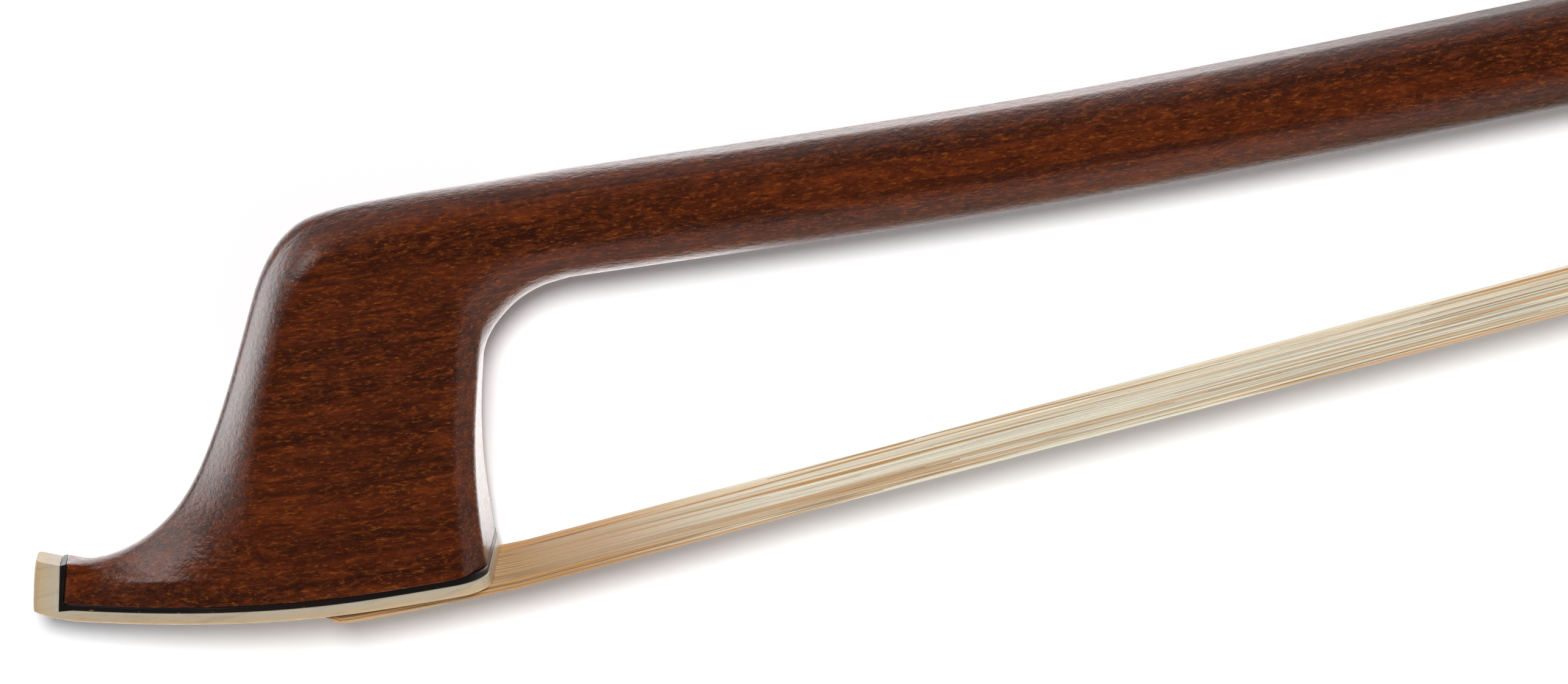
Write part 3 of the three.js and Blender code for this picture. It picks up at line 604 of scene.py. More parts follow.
class Value:
    """A number in a shader, with the usual operators."""

    def __init__(self, nodes: Nodes, socket: bpy.types.NodeSocket) -> None:
        """Keeps the nodes and the socket that the number comes from."""
        self.nodes = nodes
        self.socket = socket

    def _math(self, operation: str, *others: "Value | float") -> "Value":
        """Adds one Math node with this number first."""
        node = self.nodes.node("ShaderNodeMath", {"operation": operation}, [self, *others])
        return Value(self.nodes, node.outputs[0])

    def __add__(self, other: "Value | float") -> "Value":
        """This number and another."""
        return self._math("ADD", other)

    def __mul__(self, other: "Value | float") -> "Value":
        """This number times another."""
        return self._math("MULTIPLY", other)

    def __sub__(self, other: "Value | float") -> "Value":
        """This number less another."""
        return self._math("SUBTRACT", other)

    def __rsub__(self, other: float) -> "Value":
        """A plain number less this one."""
        return (self * -1.0) + other

    __radd__ = __add__
    __rmul__ = __mul__

    def ramp(self, low: float, high: float) -> "Value":
        """This number stretched from low and high to 0 and 1, clamped and eased.

        Args:
            low: The number that becomes 0.
            high: The number that becomes 1.

        Returns:
            The stretched number.
        """
        settings = {"interpolation_type": "SMOOTHSTEP"}
        node = self.nodes.node("ShaderNodeMapRange", settings, [self, low, high, 0.0, 1.0])
        return Value(self.nodes, node.outputs[0])

    def shown(self, grain: Grain) -> "Value":
        """This number over a pattern's reach, times the pattern's share."""
        return self.ramp(*grain.reach) * grain.share

    def between(self, low: float, high: float) -> "Value":
        """A number that is low where this one is 0 and high where it is 1."""
        return self * (high - low) + low

    def sine(self) -> "Value":
        """The sine of this number."""
        return self._math("SINE")


class Shader(Nodes):
    """Builds one node material around a Principled shader."""

    def __init__(self, name: str, arch: float = 0.0, arch_low: float = 0.0) -> None:
        """Makes the material, whose patterns can follow a parabola along the piece.

        Args:
            name: The material's name.
            arch: How far the parabola rises, in millimetres, at one millimetre from its low point.
            arch_low: Where its low point lies along x, in millimetres.
        """
        self.arch = arch
        self.arch_low = arch_low
        self.material = bpy.data.materials.new(name)
        self.material.use_nodes = True
        super().__init__(self.material.node_tree)
        self.principled = self.tree.nodes["Principled BSDF"]

    def vector(self, operation: str, inputs: Inputs, output: str = "Vector") -> bpy.types.NodeSocket:
        """Adds one Vector Math node and gives one of its outputs."""
        return self.node("ShaderNodeVectorMath", {"operation": operation}, inputs).outputs[output]

    def place(self) -> bpy.types.NodeSocket:
        """Object coordinates in millimetres, with the arch taken out of them.

        Returns:
            A vector socket.
        """
        source = self.node("ShaderNodeTexCoord", {}, {}).outputs["Object"]
        where = self.vector("SCALE", {0: source, "Scale": 1 / MM})
        if self.arch:
            along = self.node("ShaderNodeSeparateXYZ", {}, [where]).outputs[0]
            off = Value(self, along) - self.arch_low
            rise = self.node("ShaderNodeCombineXYZ", {}, {1: off * off * self.arch})
            where = self.vector("SUBTRACT", [where, rise.outputs[0]])
        return where

    def bent(self, grain: Grain) -> bpy.types.NodeSocket:
        """Places bent by a slow noise, then stretched as a pattern asks.

        Args:
            grain: The pattern.

        Returns:
            A vector socket.
        """
        where = self.place()
        if grain.waver:
            inputs = {"Vector": where, "Scale": grain.waves, "Detail": 1.0}
            slow = self.node("ShaderNodeTexNoise", {}, inputs).outputs["Color"]
            centred = self.vector("SUBTRACT", [slow, (0.5, 0.5, 0.5)])
            bend = self.vector("SCALE", {0: centred, "Scale": 2 * grain.waver})
            where = self.vector("ADD", [where, bend])
        return self.vector("MULTIPLY", [where, grain.stretch])

    def noise(self, grain: Grain) -> Value:
        """A pattern's noise, from 0 to 1."""
        inputs = {
            "Vector": self.bent(grain), "Scale": 1.0, "Detail": grain.detail, "Roughness": grain.rough,
        }
        return Value(self, self.node("ShaderNodeTexNoise", {}, inputs).outputs[0])

    def cells(self, grain: Grain) -> Value:
        """The distance to the middle of a pattern's nearest cell."""
        inputs = {"Vector": self.bent(grain), "Scale": 1.0}
        return Value(self, self.node("ShaderNodeTexVoronoi", {}, inputs).outputs["Distance"])

    def distance(self, point: Place) -> Value:
        """How far each place is from a point, in millimetres."""
        return Value(self, self.vector("DISTANCE", [self.place(), point], "Value"))

    def mark(self, name: str) -> Value:
        """A piece's own attribute."""
        made = self.node("ShaderNodeAttribute", {"attribute_name": name}, {})
        return Value(self, made.outputs["Fac"])

    def mix(self, share: Value, *colours: bpy.types.NodeSocket | Colour) -> bpy.types.NodeSocket:
        """A colour between two, by a share: each is a link or a screen colour.

        Args:
            share: How much of the second shows.
            colours: The first and the second colour.

        Returns:
            The colour.
        """
        first, second = (tint(*c) if isinstance(c, tuple) else c for c in colours)
        inputs = {0: share, 6: first, 7: second}
        return self.node("ShaderNodeMix", {"data_type": "RGBA"}, inputs).outputs[2]

    def bump(self, height: Value, depth: float) -> None:
        """Raises the surface by a height times a depth in millimetres."""
        made = self.node("ShaderNodeBump", {}, {"Strength": 1.0, "Distance": depth * MM, "Height": height})
        self.feed(self.principled.inputs["Normal"], made.outputs[0])

    def finish(self, **inputs: object) -> bpy.types.Material:
        """Sets the Principled shader's inputs.

        Args:
            inputs: Values or links by the input's name, with its spaces written as underscores.

        Returns:
            The finished material.
        """
        for key, value in inputs.items():
            self.feed(self.principled.inputs[key.replace("_", " ")], value)
        return self.material


def tint(red: int, green: int, blue: int) -> tuple[float, float, float, float]:
    """A screen colour of 0 to 255 as linear light and a full alpha, by the usual screen curve."""
    screen = (c / 255 for c in (red, green, blue))
    return (*(c / 12.92 if c <= 0.04045 else ((c + 0.055) / 1.055) ** 2.4 for c in screen), 1.0)


# Finishes


@dataclass(frozen=True)
class StickWood:
    """Oiled red-brown hardwood, with fine fibres, orange flecks and open pores, grown along the camber."""

    name: str = "stick_wood"
    dark: Colour = (56, 19, 4)
    middle: Colour = (94, 36, 8)
    warm: Colour = (128, 56, 14)
    fleck: Colour = (178, 96, 28)
    streak: Colour = (42, 14, 4)
    pore: Colour = (36, 12, 3)
    bands: Grain = Grain((0.03, 0.42, 0.42), 0.6, 0.08, reach=(0.36, 0.66))
    fibres: Grain = Grain((0.6, 3.4, 3.4), 0.5, 0.5, 3.0, 0.6, (0.40, 0.70), 0.6)
    weave: Grain = Grain((0.55, 1.3, 1.3), 0.6, 0.5, 3.0, 0.6, (0.34, 0.62), 0.55)
    flecks: Grain = Grain((2.2, 6.6, 6.6), 0.12, 0.3, 3.0, 0.65, (0.50, 0.80), 0.6)
    streaks: Grain = Grain((0.03, 1.9, 1.9), 0.3, 0.08, 3.0, 0.65, (0.52, 0.64), 0.5)
    pores: Grain = Grain((1.3, 7.0, 7.0), 0.1, 0.3, reach=(0.54, 0.80), share=0.75)
    lumps: Grain = Grain((1.8, 2.8, 2.8), 0.2, 0.8, 3.0, 0.6)
    relief: float = 0.06
    fibre_relief_share: float = 0.3
    rough: Reach = (0.2, 0.45)
    arch: float = 0.00018
    arch_low: float = 330.0

    def material(self) -> bpy.types.Material:
        """Builds the wood.

        Returns:
            The material.
        """
        s = Shader(self.name, self.arch, SIZES.in_row((self.arch_low, 0.0, 0.0))[0])
        fibres = s.noise(self.fibres)
        lumps = s.noise(self.lumps)
        body = s.mix(s.noise(self.bands).shown(self.bands), self.dark, self.middle)
        body = s.mix(fibres.shown(self.fibres), body, self.warm)
        body = s.mix(self.weave.share - s.noise(self.weave).shown(self.weave), body, self.dark)
        marks = (self.flecks, self.fleck), (self.streaks, self.streak), (self.pores, self.pore)
        for grain, colour in marks:
            body = s.mix(s.noise(grain).shown(grain), body, colour)
        s.bump(lumps + fibres * self.fibre_relief_share, self.relief)
        return s.finish(
            Base_Color=body, Roughness=lumps.between(*self.rough), Specular_IOR_Level=0.5, Coat_Weight=0.1,
            Coat_Roughness=0.25,
        )


@dataclass(frozen=True)
class Ivory:
    """Polished ivory-coloured facing, yellower at its edges, with faint lines and pale clouds."""

    name: str = "tip_ivory"
    pale: Colour = (200, 186, 163)
    honey: Colour = (208, 180, 138)
    line: Colour = (166, 142, 110)
    cloud: Colour = (206, 196, 178)
    lines: Grain = Grain((0.25, 3.2, 3.2), 0.3, 0.3, 3.0, reach=(0.45, 0.75), share=0.35)
    clouds: Grain = Grain((0.35, 0.35, 0.35), reach=(0.5, 0.8), share=0.25)
    rim_reach: Reach = (0.1, 0.95)
    relief: float = 0.01
    rough: Reach = (0.34, 0.44)
    scatter: float = 1.2

    def material(self) -> bpy.types.Material:
        """Builds the ivory.

        Returns:
            The material.
        """
        s = Shader(self.name)
        lines = s.noise(self.lines)
        body = s.mix(s.mark("rim").ramp(*self.rim_reach), self.pale, self.honey)
        body = s.mix(lines.shown(self.lines), body, self.line)
        body = s.mix(s.noise(self.clouds).shown(self.clouds), body, self.cloud)
        s.bump(lines, self.relief)
        return s.finish(
            Base_Color=body, Roughness=lines.between(*self.rough), Specular_IOR_Level=0.3,
            Subsurface_Weight=0.12, Subsurface_Scale=self.scatter * MM,
        )


@dataclass(frozen=True)
class Ebony:
    """Dense black-brown wood with a low polish, and specks of yellow glue where asked."""

    name: str = "ebony"
    glued: bool = False
    black: Colour = (24, 20, 19)
    brown: Colour = (44, 32, 26)
    pore: Colour = (14, 12, 12)
    glue: Colour = (176, 116, 22)
    streaks: Grain = Grain((0.05, 0.8, 0.8), 0.4, 0.1, reach=(0.45, 0.75), share=0.6)
    grain: Grain = Grain((0.3, 4.0, 4.0), 0.2, 0.4, 4.0, 0.6, (0.55, 0.8), 0.5)
    specks: Grain = Grain((0.9, 1.6, 0.4), detail=3.0, reach=(0.64, 0.70))
    rim_reach: Reach = (0.55, 0.9)
    relief: float = 0.012
    rough: Reach = (0.32, 0.46)

    def material(self) -> bpy.types.Material:
        """Builds the ebony.

        Returns:
            The material.
        """
        s = Shader(self.name)
        grain = s.noise(self.grain)
        body = s.mix(s.noise(self.streaks).shown(self.streaks), self.black, self.brown)
        body = s.mix(grain.shown(self.grain), body, self.pore)
        if self.glued:
            specks = s.noise(self.specks).shown(self.specks)
            body = s.mix(specks * s.mark("rim").ramp(*self.rim_reach), body, self.glue)
        s.bump(grain, self.relief)
        return s.finish(Base_Color=body, Roughness=grain.between(*self.rough), Specular_IOR_Level=0.3)


@dataclass(frozen=True)
class HorseHair:
    """Bleached horse hair: each strand has its own tone and changes slowly along its length."""

    name: str = "hair"
    light: Colour = (255, 242, 218)
    middle: Colour = (226, 184, 140)
    honey: Colour = (196, 142, 80)
    honey_share: float = 0.8
    drift: Grain = Grain((0.05, 2.0, 2.0), share=0.5)
    scales: Grain = Grain((2.5, 9.0, 9.0))
    tone_reach: Reach = (0.25, 0.75)
    relief: float = 0.01
    rough: Reach = (0.33, 0.48)
    scatter: float = 0.6

    def material(self) -> bpy.types.Material:
        """Builds the hair.

        Returns:
            The material.
        """
        s = Shader(self.name)
        scales = s.noise(self.scales)
        tone = s.mark("tone") + s.noise(self.drift) * self.drift.share
        body = s.mix(tone.ramp(*self.tone_reach), self.middle, self.light)
        body = s.mix(s.mark("honey").ramp(0.0, 1.0) * self.honey_share, body, self.honey)
        s.bump(scales, self.relief)
        return s.finish(
            Base_Color=body, Roughness=scales.between(*self.rough), Coat_Weight=0.15,
            Subsurface_Weight=0.15, Subsurface_Scale=self.scatter * MM,
        )


@dataclass(frozen=True)
class Metal:
    """A turned or rolled metal with fine rubbing marks and faint tarnish."""

    name: str
    bright: Colour
    dull: Colour
    rough: float = 0.18
    marks: Grain = Grain((1.5, 14.0, 14.0), detail=4.0, rough=0.7, share=0.1)
    tarnish: Grain = Grain((0.4, 0.4, 0.4), detail=4.0, rough=0.6, reach=(0.45, 0.78), share=0.6)
    dulling: Grain = Grain((0.4, 0.4, 0.4), detail=4.0, rough=0.6, reach=(0.4, 0.8), share=0.12)
    relief: float = 0.003

    def material(self) -> bpy.types.Material:
        """Builds the metal.

        Returns:
            The material.
        """
        s = Shader(self.name)
        marks = s.noise(self.marks)
        tarnish = s.noise(self.tarnish)
        body = s.mix(tarnish.shown(self.tarnish), self.bright, self.dull)
        s.bump(marks, self.relief)
        rough = marks * self.marks.share + tarnish.shown(self.dulling) + self.rough
        return s.finish(Base_Color=body, Metallic=1.0, Roughness=rough)


@dataclass(frozen=True)
class Pearl:
    """Mother-of-pearl: slow bands of pale green, rose and blue."""

    name: str = "pearl"
    green: Colour = (214, 226, 220)
    rose: Colour = (232, 214, 216)
    blue: Colour = (196, 210, 222)
    folds: Grain = Grain((0.22, 0.3, 0.5), 1.2, 0.25, 3.0, reach=(0.45, 0.7))
    bands: float = 40.0
    relief: float = 0.004
    rough: Reach = (0.14, 0.22)

    def material(self) -> bpy.types.Material:
        """Builds the pearl, banded by the sine of its folds.

        Returns:
            The material.
        """
        s = Shader(self.name)
        folds = s.noise(self.folds)
        waves = (folds * self.bands).sine() * 0.5 + 0.5
        body = s.mix(waves, self.green, self.rose)
        body = s.mix(folds.shown(self.folds), body, self.blue)
        s.bump(waves, self.relief)
        rough = waves.between(*self.rough)
        return s.finish(Base_Color=body, Roughness=rough, Coat_Weight=0.6, Coat_Roughness=0.05)


@dataclass(frozen=True)
class Leather:
    """Smooth dark grip leather with a fine pebble and rubbed high spots."""

    name: str = "grip_leather"
    deep: Colour = (38, 22, 15)
    rubbed: Colour = (66, 40, 28)
    hollow: Colour = (26, 15, 11)
    pebbles: Grain = Grain((3.2, 3.2, 3.2), 0.15, 1.0, reach=(0.1, 0.5), share=0.4)
    creases: Grain = Grain((1.2, 0.7, 0.7), 0.4, 0.5, 4.0, 0.65, (0.35, 0.7))
    relief: float = 0.042
    rough: Reach = (0.42, 0.62)

    def material(self) -> bpy.types.Material:
        """Builds the leather.

        Returns:
            The material.
        """
        s = Shader(self.name)
        pebbles = s.cells(self.pebbles)
        creases = s.noise(self.creases)
        body = s.mix(creases.shown(self.creases), self.deep, self.rubbed)
        body = s.mix(pebbles.shown(self.pebbles), body, self.hollow)
        s.bump(creases - pebbles, self.relief)
        return s.finish(Base_Color=body, Roughness=creases.between(*self.rough))


@dataclass(frozen=True)
class Fibre:
    """Bare pale maple of the plugs and the wedge, or the waxed thread of the knots."""

    name: str
    light: Colour
    deep: Colour
    grain: Grain = Grain((0.6, 5.0, 5.0), 0.3, 0.4, 4.0, reach=(0.35, 0.7))
    relief: float = 0.02
    rough: Reach = (0.5, 0.7)

    def material(self) -> bpy.types.Material:
        """Builds the finish.

        Returns:
            The material.
        """
        s = Shader(self.name)
        grain = s.noise(self.grain)
        body = s.mix(grain.shown(self.grain), self.light, self.deep)
        s.bump(grain, self.relief)
        return s.finish(Base_Color=body, Roughness=grain.between(*self.rough))


def make_finishes() -> dict[str, bpy.types.Material]:
    """Every material of the bow, made once.

    Returns:
        The materials by name: the record's slot for each, but for the glued liner's own.
    """
    finishes = (
        StickWood(), Ivory(), Ebony(), Ebony("ebony_liner", glued=True), HorseHair(),
        Metal("silver", (212, 210, 204), (150, 142, 130)),
        Metal("winding_wire", (216, 214, 208), (140, 132, 120), 0.22),
        Metal("brass", (196, 158, 84), (132, 98, 48)),
        Metal("screw_steel", (168, 170, 172), (110, 108, 106), 0.25),
        Pearl(), Leather(),
        Fibre("plug_maple", (214, 184, 136), (170, 132, 86)),
        Fibre("knot_thread", (150, 98, 52), (96, 58, 28)),
    )
    return {finish.name: finish.material() for finish in finishes}


# Sub-assemblies


@dataclass
class Part:
    """A sub-assembly of the bow, dressed from the bow's finishes."""

    finishes: dict[str, bpy.types.Material]

    def settle(self, piece: bpy.types.Object, body: str, node: str, slot: str, finish: str = "") -> None:
        """Gives a piece its body, the frame piece it stands for, its slot and its finish.

        Args:
            piece: The new piece.
            body: The body it rides on.
            node: The frame piece it replaces.
            slot: The record's material slot, which is also its finish unless another is named.
            finish: The other finish.
        """
        piece.data.materials.clear()
        piece.data.materials.append(self.finishes[finish or slot])
        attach(piece, body)
        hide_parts(node)
        log.info("%s stands for %s on %s", piece.name, node, body)


@dataclass
class Stick(Part):
    """The stick: a carved head and a shaft that thins towards it, eight-sided at the handle."""

    tip_diameter: float = 6.8
    grip_diameter: float = 10.6
    taper_power: float = 1.4
    top_flat: float = 0.8
    flat_fade: float = 12.0
    flat_turn: float = 1.0
    corner_blunt: float = 0.08
    handle_straight: float = 45.0
    facet_blend: float = 22.0
    camber_low: float = 350.0
    camber_height: float = 7.4
    join_share: float = 0.402
    join_axis_share: float = 0.818
    join_slope: float = -0.12
    upper_knot_shares: tuple[float, float] = (0.069, 0.6755)
    upper_slope: float = -0.089
    lower_knot_shares: tuple[float, float] = (0.116, 0.594)
    lower_slope: float = -0.062
    back_chamfer: float = 1.4
    ridge_rounding: float = 0.55
    bevel_power: float = 2.7
    full_shares: tuple[float, float] = (0.33, 0.6)
    beak_rise: float = 1.3
    beak_reach: float = 5.1
    beak_round: float = 2.4
    beak_least: float = 0.01
    beak_power: float = 4.0
    beak_start: Reach = (-0.2, 1.6)
    beak_end: float = 14.0
    beak_depth_shares: Reach = (0.3, 1.0)
    calm_start: Reach = (0.2, 1.6)
    calm_end: Reach = (11.0, 18.0)
    calm_rows: Reach = (1, 9)
    calm_times: int = 120
    soften_times: int = 2
    ridge_end: float = 1 / 16
    bevel_end: float = 6 / 16
    flank_end: float = 10 / 16
    chamfer_end: float = 12 / 16
    bevel_spacing: float = 1.75
    ridge_fade: float = 1.5
    row_spacing: float = 1.25
    round_points: int = 128
    head_rows: int = 230
    skirt_rows: int = 13
    shaft_near: float = 90.0
    shaft_rows: tuple[int, int] = (90, 169)
    butt_ease: float = 0.25
    bore_start: float = 13.0
    bore_radius: float = 1.9
    bore_overrun: float = 1.0
    bore_sides: int = 32
    slot_low: Place = (30.1, -6.2, -2.7)
    slot_high: Place = (41.9, 3.0, 2.7)
    crest_shares: tuple[tuple[float, float], ...] = (
        (-1.001, 0.314), (-0.92, 0.296), (-0.801, 0.317), (-0.663, 0.403), (-0.525, 0.591),
        (-0.429, 0.748), (-0.341, 0.89), (-0.253, 0.973), (-0.15, 1), (0.045, 0.989), (0.23, 0.968),
    )
    back_shares: tuple[tuple[float, float], ...] = (
        (0.002, 0.094), (0.008, 0.132), (0.019, 0.202), (0.036, 0.287), (0.063, 0.388), (0.096, 0.486),
        (0.126, 0.555), (0.153, 0.595), (0.192, 0.63), (0.249, 0.664), (0.314, 0.683),
    )
    bevel_shares: tuple[float, ...] = (0.65, 0.5, 0.35, 0.21, 0.14, 0.123, 0.115, 0.115, 0.123, 0.13, 0.13)
    ridge_shares: tuple[float, ...] = (0.18, 0.14, 0.11, 0.09, 0.09, 0.09, 0.107, 0.143, 0.18, 0.21, 0.21)
    side_shares: tuple[float, ...] = (0.973, 0.93, 0.875, 0.82, 0.77, 0.73, 0.714, 0.7, 0.67, 0.643, 0.616)
    back_width_shares: tuple[float, ...] = (
        0.7, 0.68, 0.63, 0.57, 0.52, 0.48, 0.464, 0.446, 0.43, 0.41, 0.41,
    )
    round_shares: tuple[float, ...] = (0, 0, 0, 0, 0, 0, 0.08, 0.25, 0.55, 0.85, 1)

    @property
    def join(self) -> float:
        """Where the head ends and the round shaft begins."""
        return self.join_share * SIZES.head_reach

    @property
    def straight(self) -> float:
        """Where the straight handle begins."""
        return SIZES.hair_length - self.handle_straight * math.cos(SIZES.handle_tilt)

    def height(self, x: np.ndarray) -> np.ndarray:
        """The axis's height: cubic curves between knots, then the straight handle.

        Args:
            x: Places along the bow.

        Returns:
            The axis's height over the hair.
        """
        scale = np.array((SIZES.hair_length + SIZES.head_reach, SIZES.head_height))
        tilt = SIZES.handle_tilt
        knots = np.array((
            (self.join, self.join_axis_share * SIZES.head_height, self.join_slope),
            (*(self.upper_knot_shares * scale), self.upper_slope),
            (*(self.lower_knot_shares * scale), self.lower_slope),
            (self.camber_low, self.camber_height, 0.0),
            (self.straight, SIZES.handle_height - self.handle_straight * math.sin(tilt), math.tan(tilt)),
        ))
        i = np.clip(np.searchsorted(knots[:, 0], x, side="right") - 1, 0, len(knots) - 2)
        start, end = knots[i], knots[i + 1]
        width = end[..., 0] - start[..., 0]
        t = (x - start[..., 0]) / width
        rise = 3 * t**2 - 2 * t**3
        lead = t * (1 - t) ** 2 * start[..., 2] * width
        trail = t**2 * (1 - t) * end[..., 2] * width
        curve = start[..., 1] + (end[..., 1] - start[..., 1]) * rise + lead - trail
        line = SIZES.handle_height + (x - SIZES.hair_length) * math.tan(tilt)
        return np.where(x >= self.straight, line, curve)

    def angle(self, x: np.ndarray) -> np.ndarray:
        """The axis's slope as an angle, over a short step."""
        step = self.tip_diameter / 10
        return np.arctan2(self.height(x + step) - self.height(x), step)

    def rings(self, x: np.ndarray, swell: np.ndarray | float = 0.0, points: int = 0) -> np.ndarray:
        """Rings round the shaft at places along it: round, or eight-sided towards the handle.

        Args:
            x: Places along the bow.
            swell: How far each ring stands off the stick.
            points: Points to a ring, or none for the stick's own.

        Returns:
            Points as places, points round, 3.
        """
        count = points or self.round_points
        turn = np.arange(count) * TAU / count
        swell = np.zeros((len(x), 1)) + np.asarray(swell).reshape(-1, 1 if np.ndim(swell) < 2 else count)
        angle = np.where(x >= self.straight, SIZES.handle_tilt, self.angle(x))[:, None]
        share = share_of(x, self.join, self.straight) ** self.taper_power
        round_radius = mixed(self.tip_diameter, self.grip_diameter, share)[:, None] / 2
        facets = smooth_step(x, self.straight - self.facet_blend, self.straight)[:, None]
        flat = octagon_radius(turn, SIZES.handle_flats, self.corner_blunt)[None, :] + swell
        radius = mixed(round_radius + swell, flat, facets)
        worn = smooth_step(x, self.join, self.join + self.flat_fade)[:, None]
        depth = self.top_flat**2 / 2 / round_radius * worn
        off_top = np.minimum(turn, TAU - turn)[None, :]
        radius = np.minimum(radius, (radius - depth) / np.cos(np.minimum(off_top, self.flat_turn)))
        up = radius * np.cos(turn)
        rise = self.height(x)[:, None] + up * np.cos(angle)
        return np.stack((x[:, None] - up * np.sin(angle), rise, radius * np.sin(turn)), axis=-1)

    def beak(self, x: np.ndarray) -> np.ndarray:
        """How far the nose turns up: a square law forward of the beak's root."""
        forward = np.clip(-x - SIZES.head_reach + self.beak_reach, 0, None) / self.beak_reach
        return self.beak_rise * forward**2

    def section(
        self, v: np.ndarray, length: np.ndarray, widths: np.ndarray, rounding: np.ndarray,
        full: np.ndarray,
    ) -> tuple[np.ndarray, np.ndarray]:
        """Half a head section: a ridge, a rounded bevel, a flat flank, a chamfer and a flat back.

        Args:
            v: Shares round the half section, from ridge to back.
            length: Each section's length from crest to back.
            widths: Each section's bevel length, ridge, side and back half widths.
            rounding: How deep each ridge is rounded, as a share of its half width.
            full: How far each bevel has turned from a quarter sine into a fuller power curve.

        Returns:
            The distance along the section and the half width, as sections and shares.
        """
        bevel, ridge, side, back = (widths[:, k : k + 1] for k in range(4))
        length = length[:, None]
        v = v[None, :]
        nose = share_of(v, 0, self.ridge_end) * math.pi / 2
        round_off = ridge * rounding[:, None]
        q = share_of(v, self.ridge_end, self.bevel_end) ** self.bevel_spacing
        flank = share_of(v, self.bevel_end, self.flank_end)
        chamfer = share_of(v, self.flank_end, self.chamfer_end)
        across = share_of(v, self.chamfer_end, 1)
        along = round_off * (1 - np.cos(nose)) + q * (bevel - round_off)
        along = along + flank * (length - self.back_chamfer - bevel) + chamfer * self.back_chamfer
        curve = mixed(np.sin(q * math.pi / 2), 1 - (1 - q) ** self.bevel_power, full[:, None])
        wide = np.where(v < self.ridge_end, ridge * np.sin(nose), mixed(ridge, side, curve))
        wide = np.where(v > self.flank_end, mixed(side, back, chamfer), wide)
        return along, np.where(v > self.chamfer_end, back * (1 - across), wide)

    def head_rings(
        self, crest: np.ndarray, back: np.ndarray, widths: np.ndarray, roundness: np.ndarray,
    ) -> np.ndarray:
        """Rings round the head on lines from crest to back, bent up at the beak.

        Args:
            crest: Crest points in the side view.
            back: Back points in the side view.
            widths: Bevel length, ridge, side and back half widths.
            roundness: How far each section has turned into the shaft's circle.

        Returns:
            Points as sections, points round, 3.
        """
        half = self.round_points // 2
        v = np.arange(half + 1) / half
        low = crest - np.stack((np.zeros(len(crest)), self.beak(crest[:, 0])), axis=-1)
        length = np.linalg.norm(back - low, axis=1)
        past_nose = crest[:, 0] + SIZES.head_reach
        rounding = self.ridge_rounding * smooth_step(past_nose, 0, self.ridge_fade)
        full = smooth_step(crest[:, 1] / SIZES.head_height, *self.full_shares)
        along, wide = self.section(v, length, widths, rounding, full)
        roundness = roundness[:, None]
        share = mixed(along / length[:, None], (1 - np.cos(math.pi * v)) / 2, roundness)
        wide = mixed(wide, widths[:, 2:3] * np.sin(math.pi * v), roundness)
        at = mixed(low[:, None, :], back[:, None, :], share[..., None])
        right = np.stack((at[..., 0], at[..., 1] + self.beak(at[..., 0]), wide), axis=-1)
        return mirrored(right)

    def head(self) -> np.ndarray:
        """The head's rings, from the sole round to where the shaft begins.

        Returns:
            Points as sections, points round, 3.
        """
        scale = np.array((SIZES.head_reach, SIZES.head_height))
        joint = self.rings(np.array((self.join,)))[0]
        crest = np.vstack((np.array(self.crest_shares) * scale, joint[0, :2]))
        back = np.vstack((np.array(self.back_shares) * scale, joint[self.round_points // 2, :2]))
        wide = SIZES.head_half_width
        shares = (self.bevel_shares, self.ridge_shares, self.side_shares, self.back_width_shares)
        table = np.column_stack((*shares, self.round_shares)) * (SIZES.head_reach, wide, wide, wide, 1)
        last = table[-1].copy()
        last[2] = self.tip_diameter / 2
        table = np.vstack((table, last))
        t = np.linspace(0, 1, self.head_rows, endpoint=False) ** self.row_spacing
        values = catmull(table, t)
        roundness = np.clip(values[:, 4], 0, 1)
        rings = self.head_rings(catmull(crest, t), catmull(back, t), values[:, :4], roundness)
        sole_crest = np.array(((-SIZES.sole_reach, SIZES.nose_height),))
        sole_back = np.array(((0.0, SIZES.heel_height),))
        heel = wide * SIZES.heel_corner_share
        sole_widths = np.array(((SIZES.nose_bevel, SIZES.nose_half_width, wide, heel),))
        sole = self.head_rings(sole_crest, sole_back, sole_widths, np.zeros(1))
        sole[..., 1] = SIZES.sole(sole[..., 0])
        limit = SIZES.facing_half_width(sole[..., 0])
        sole[..., 2] = np.clip(sole[..., 2], -limit, limit)
        lift = np.linspace(0, 1, self.skirt_rows, endpoint=False)[:, None, None]
        skirt = mixed(sole, rings[:1], lift)
        return self.calm(self.round_beak(soften(np.concatenate((skirt, rings)), self.soften_times)))

    def calm(self, rings: np.ndarray) -> np.ndarray:
        """Smooths the head's front from ring to ring, clear of the nose's face and the sole.

        Args:
            rings: The head's rings.

        Returns:
            The same rings, without the crease over the sole.
        """
        past_nose = rings[..., :1] + SIZES.head_reach
        row = np.arange(len(rings))[:, None, None]
        share = smooth_step(past_nose, *self.calm_start) * (1 - smooth_step(past_nose, *self.calm_end))
        share = share * smooth_step(row, *self.calm_rows)
        for _ in range(self.calm_times):
            around = (rings[:-2] + 2 * rings[1:-1] + rings[2:]) / 4
            inner = mixed(rings[1:-1], around, share[1:-1])
            rings = np.concatenate((rings[:1], inner, rings[-1:]))
        return rings

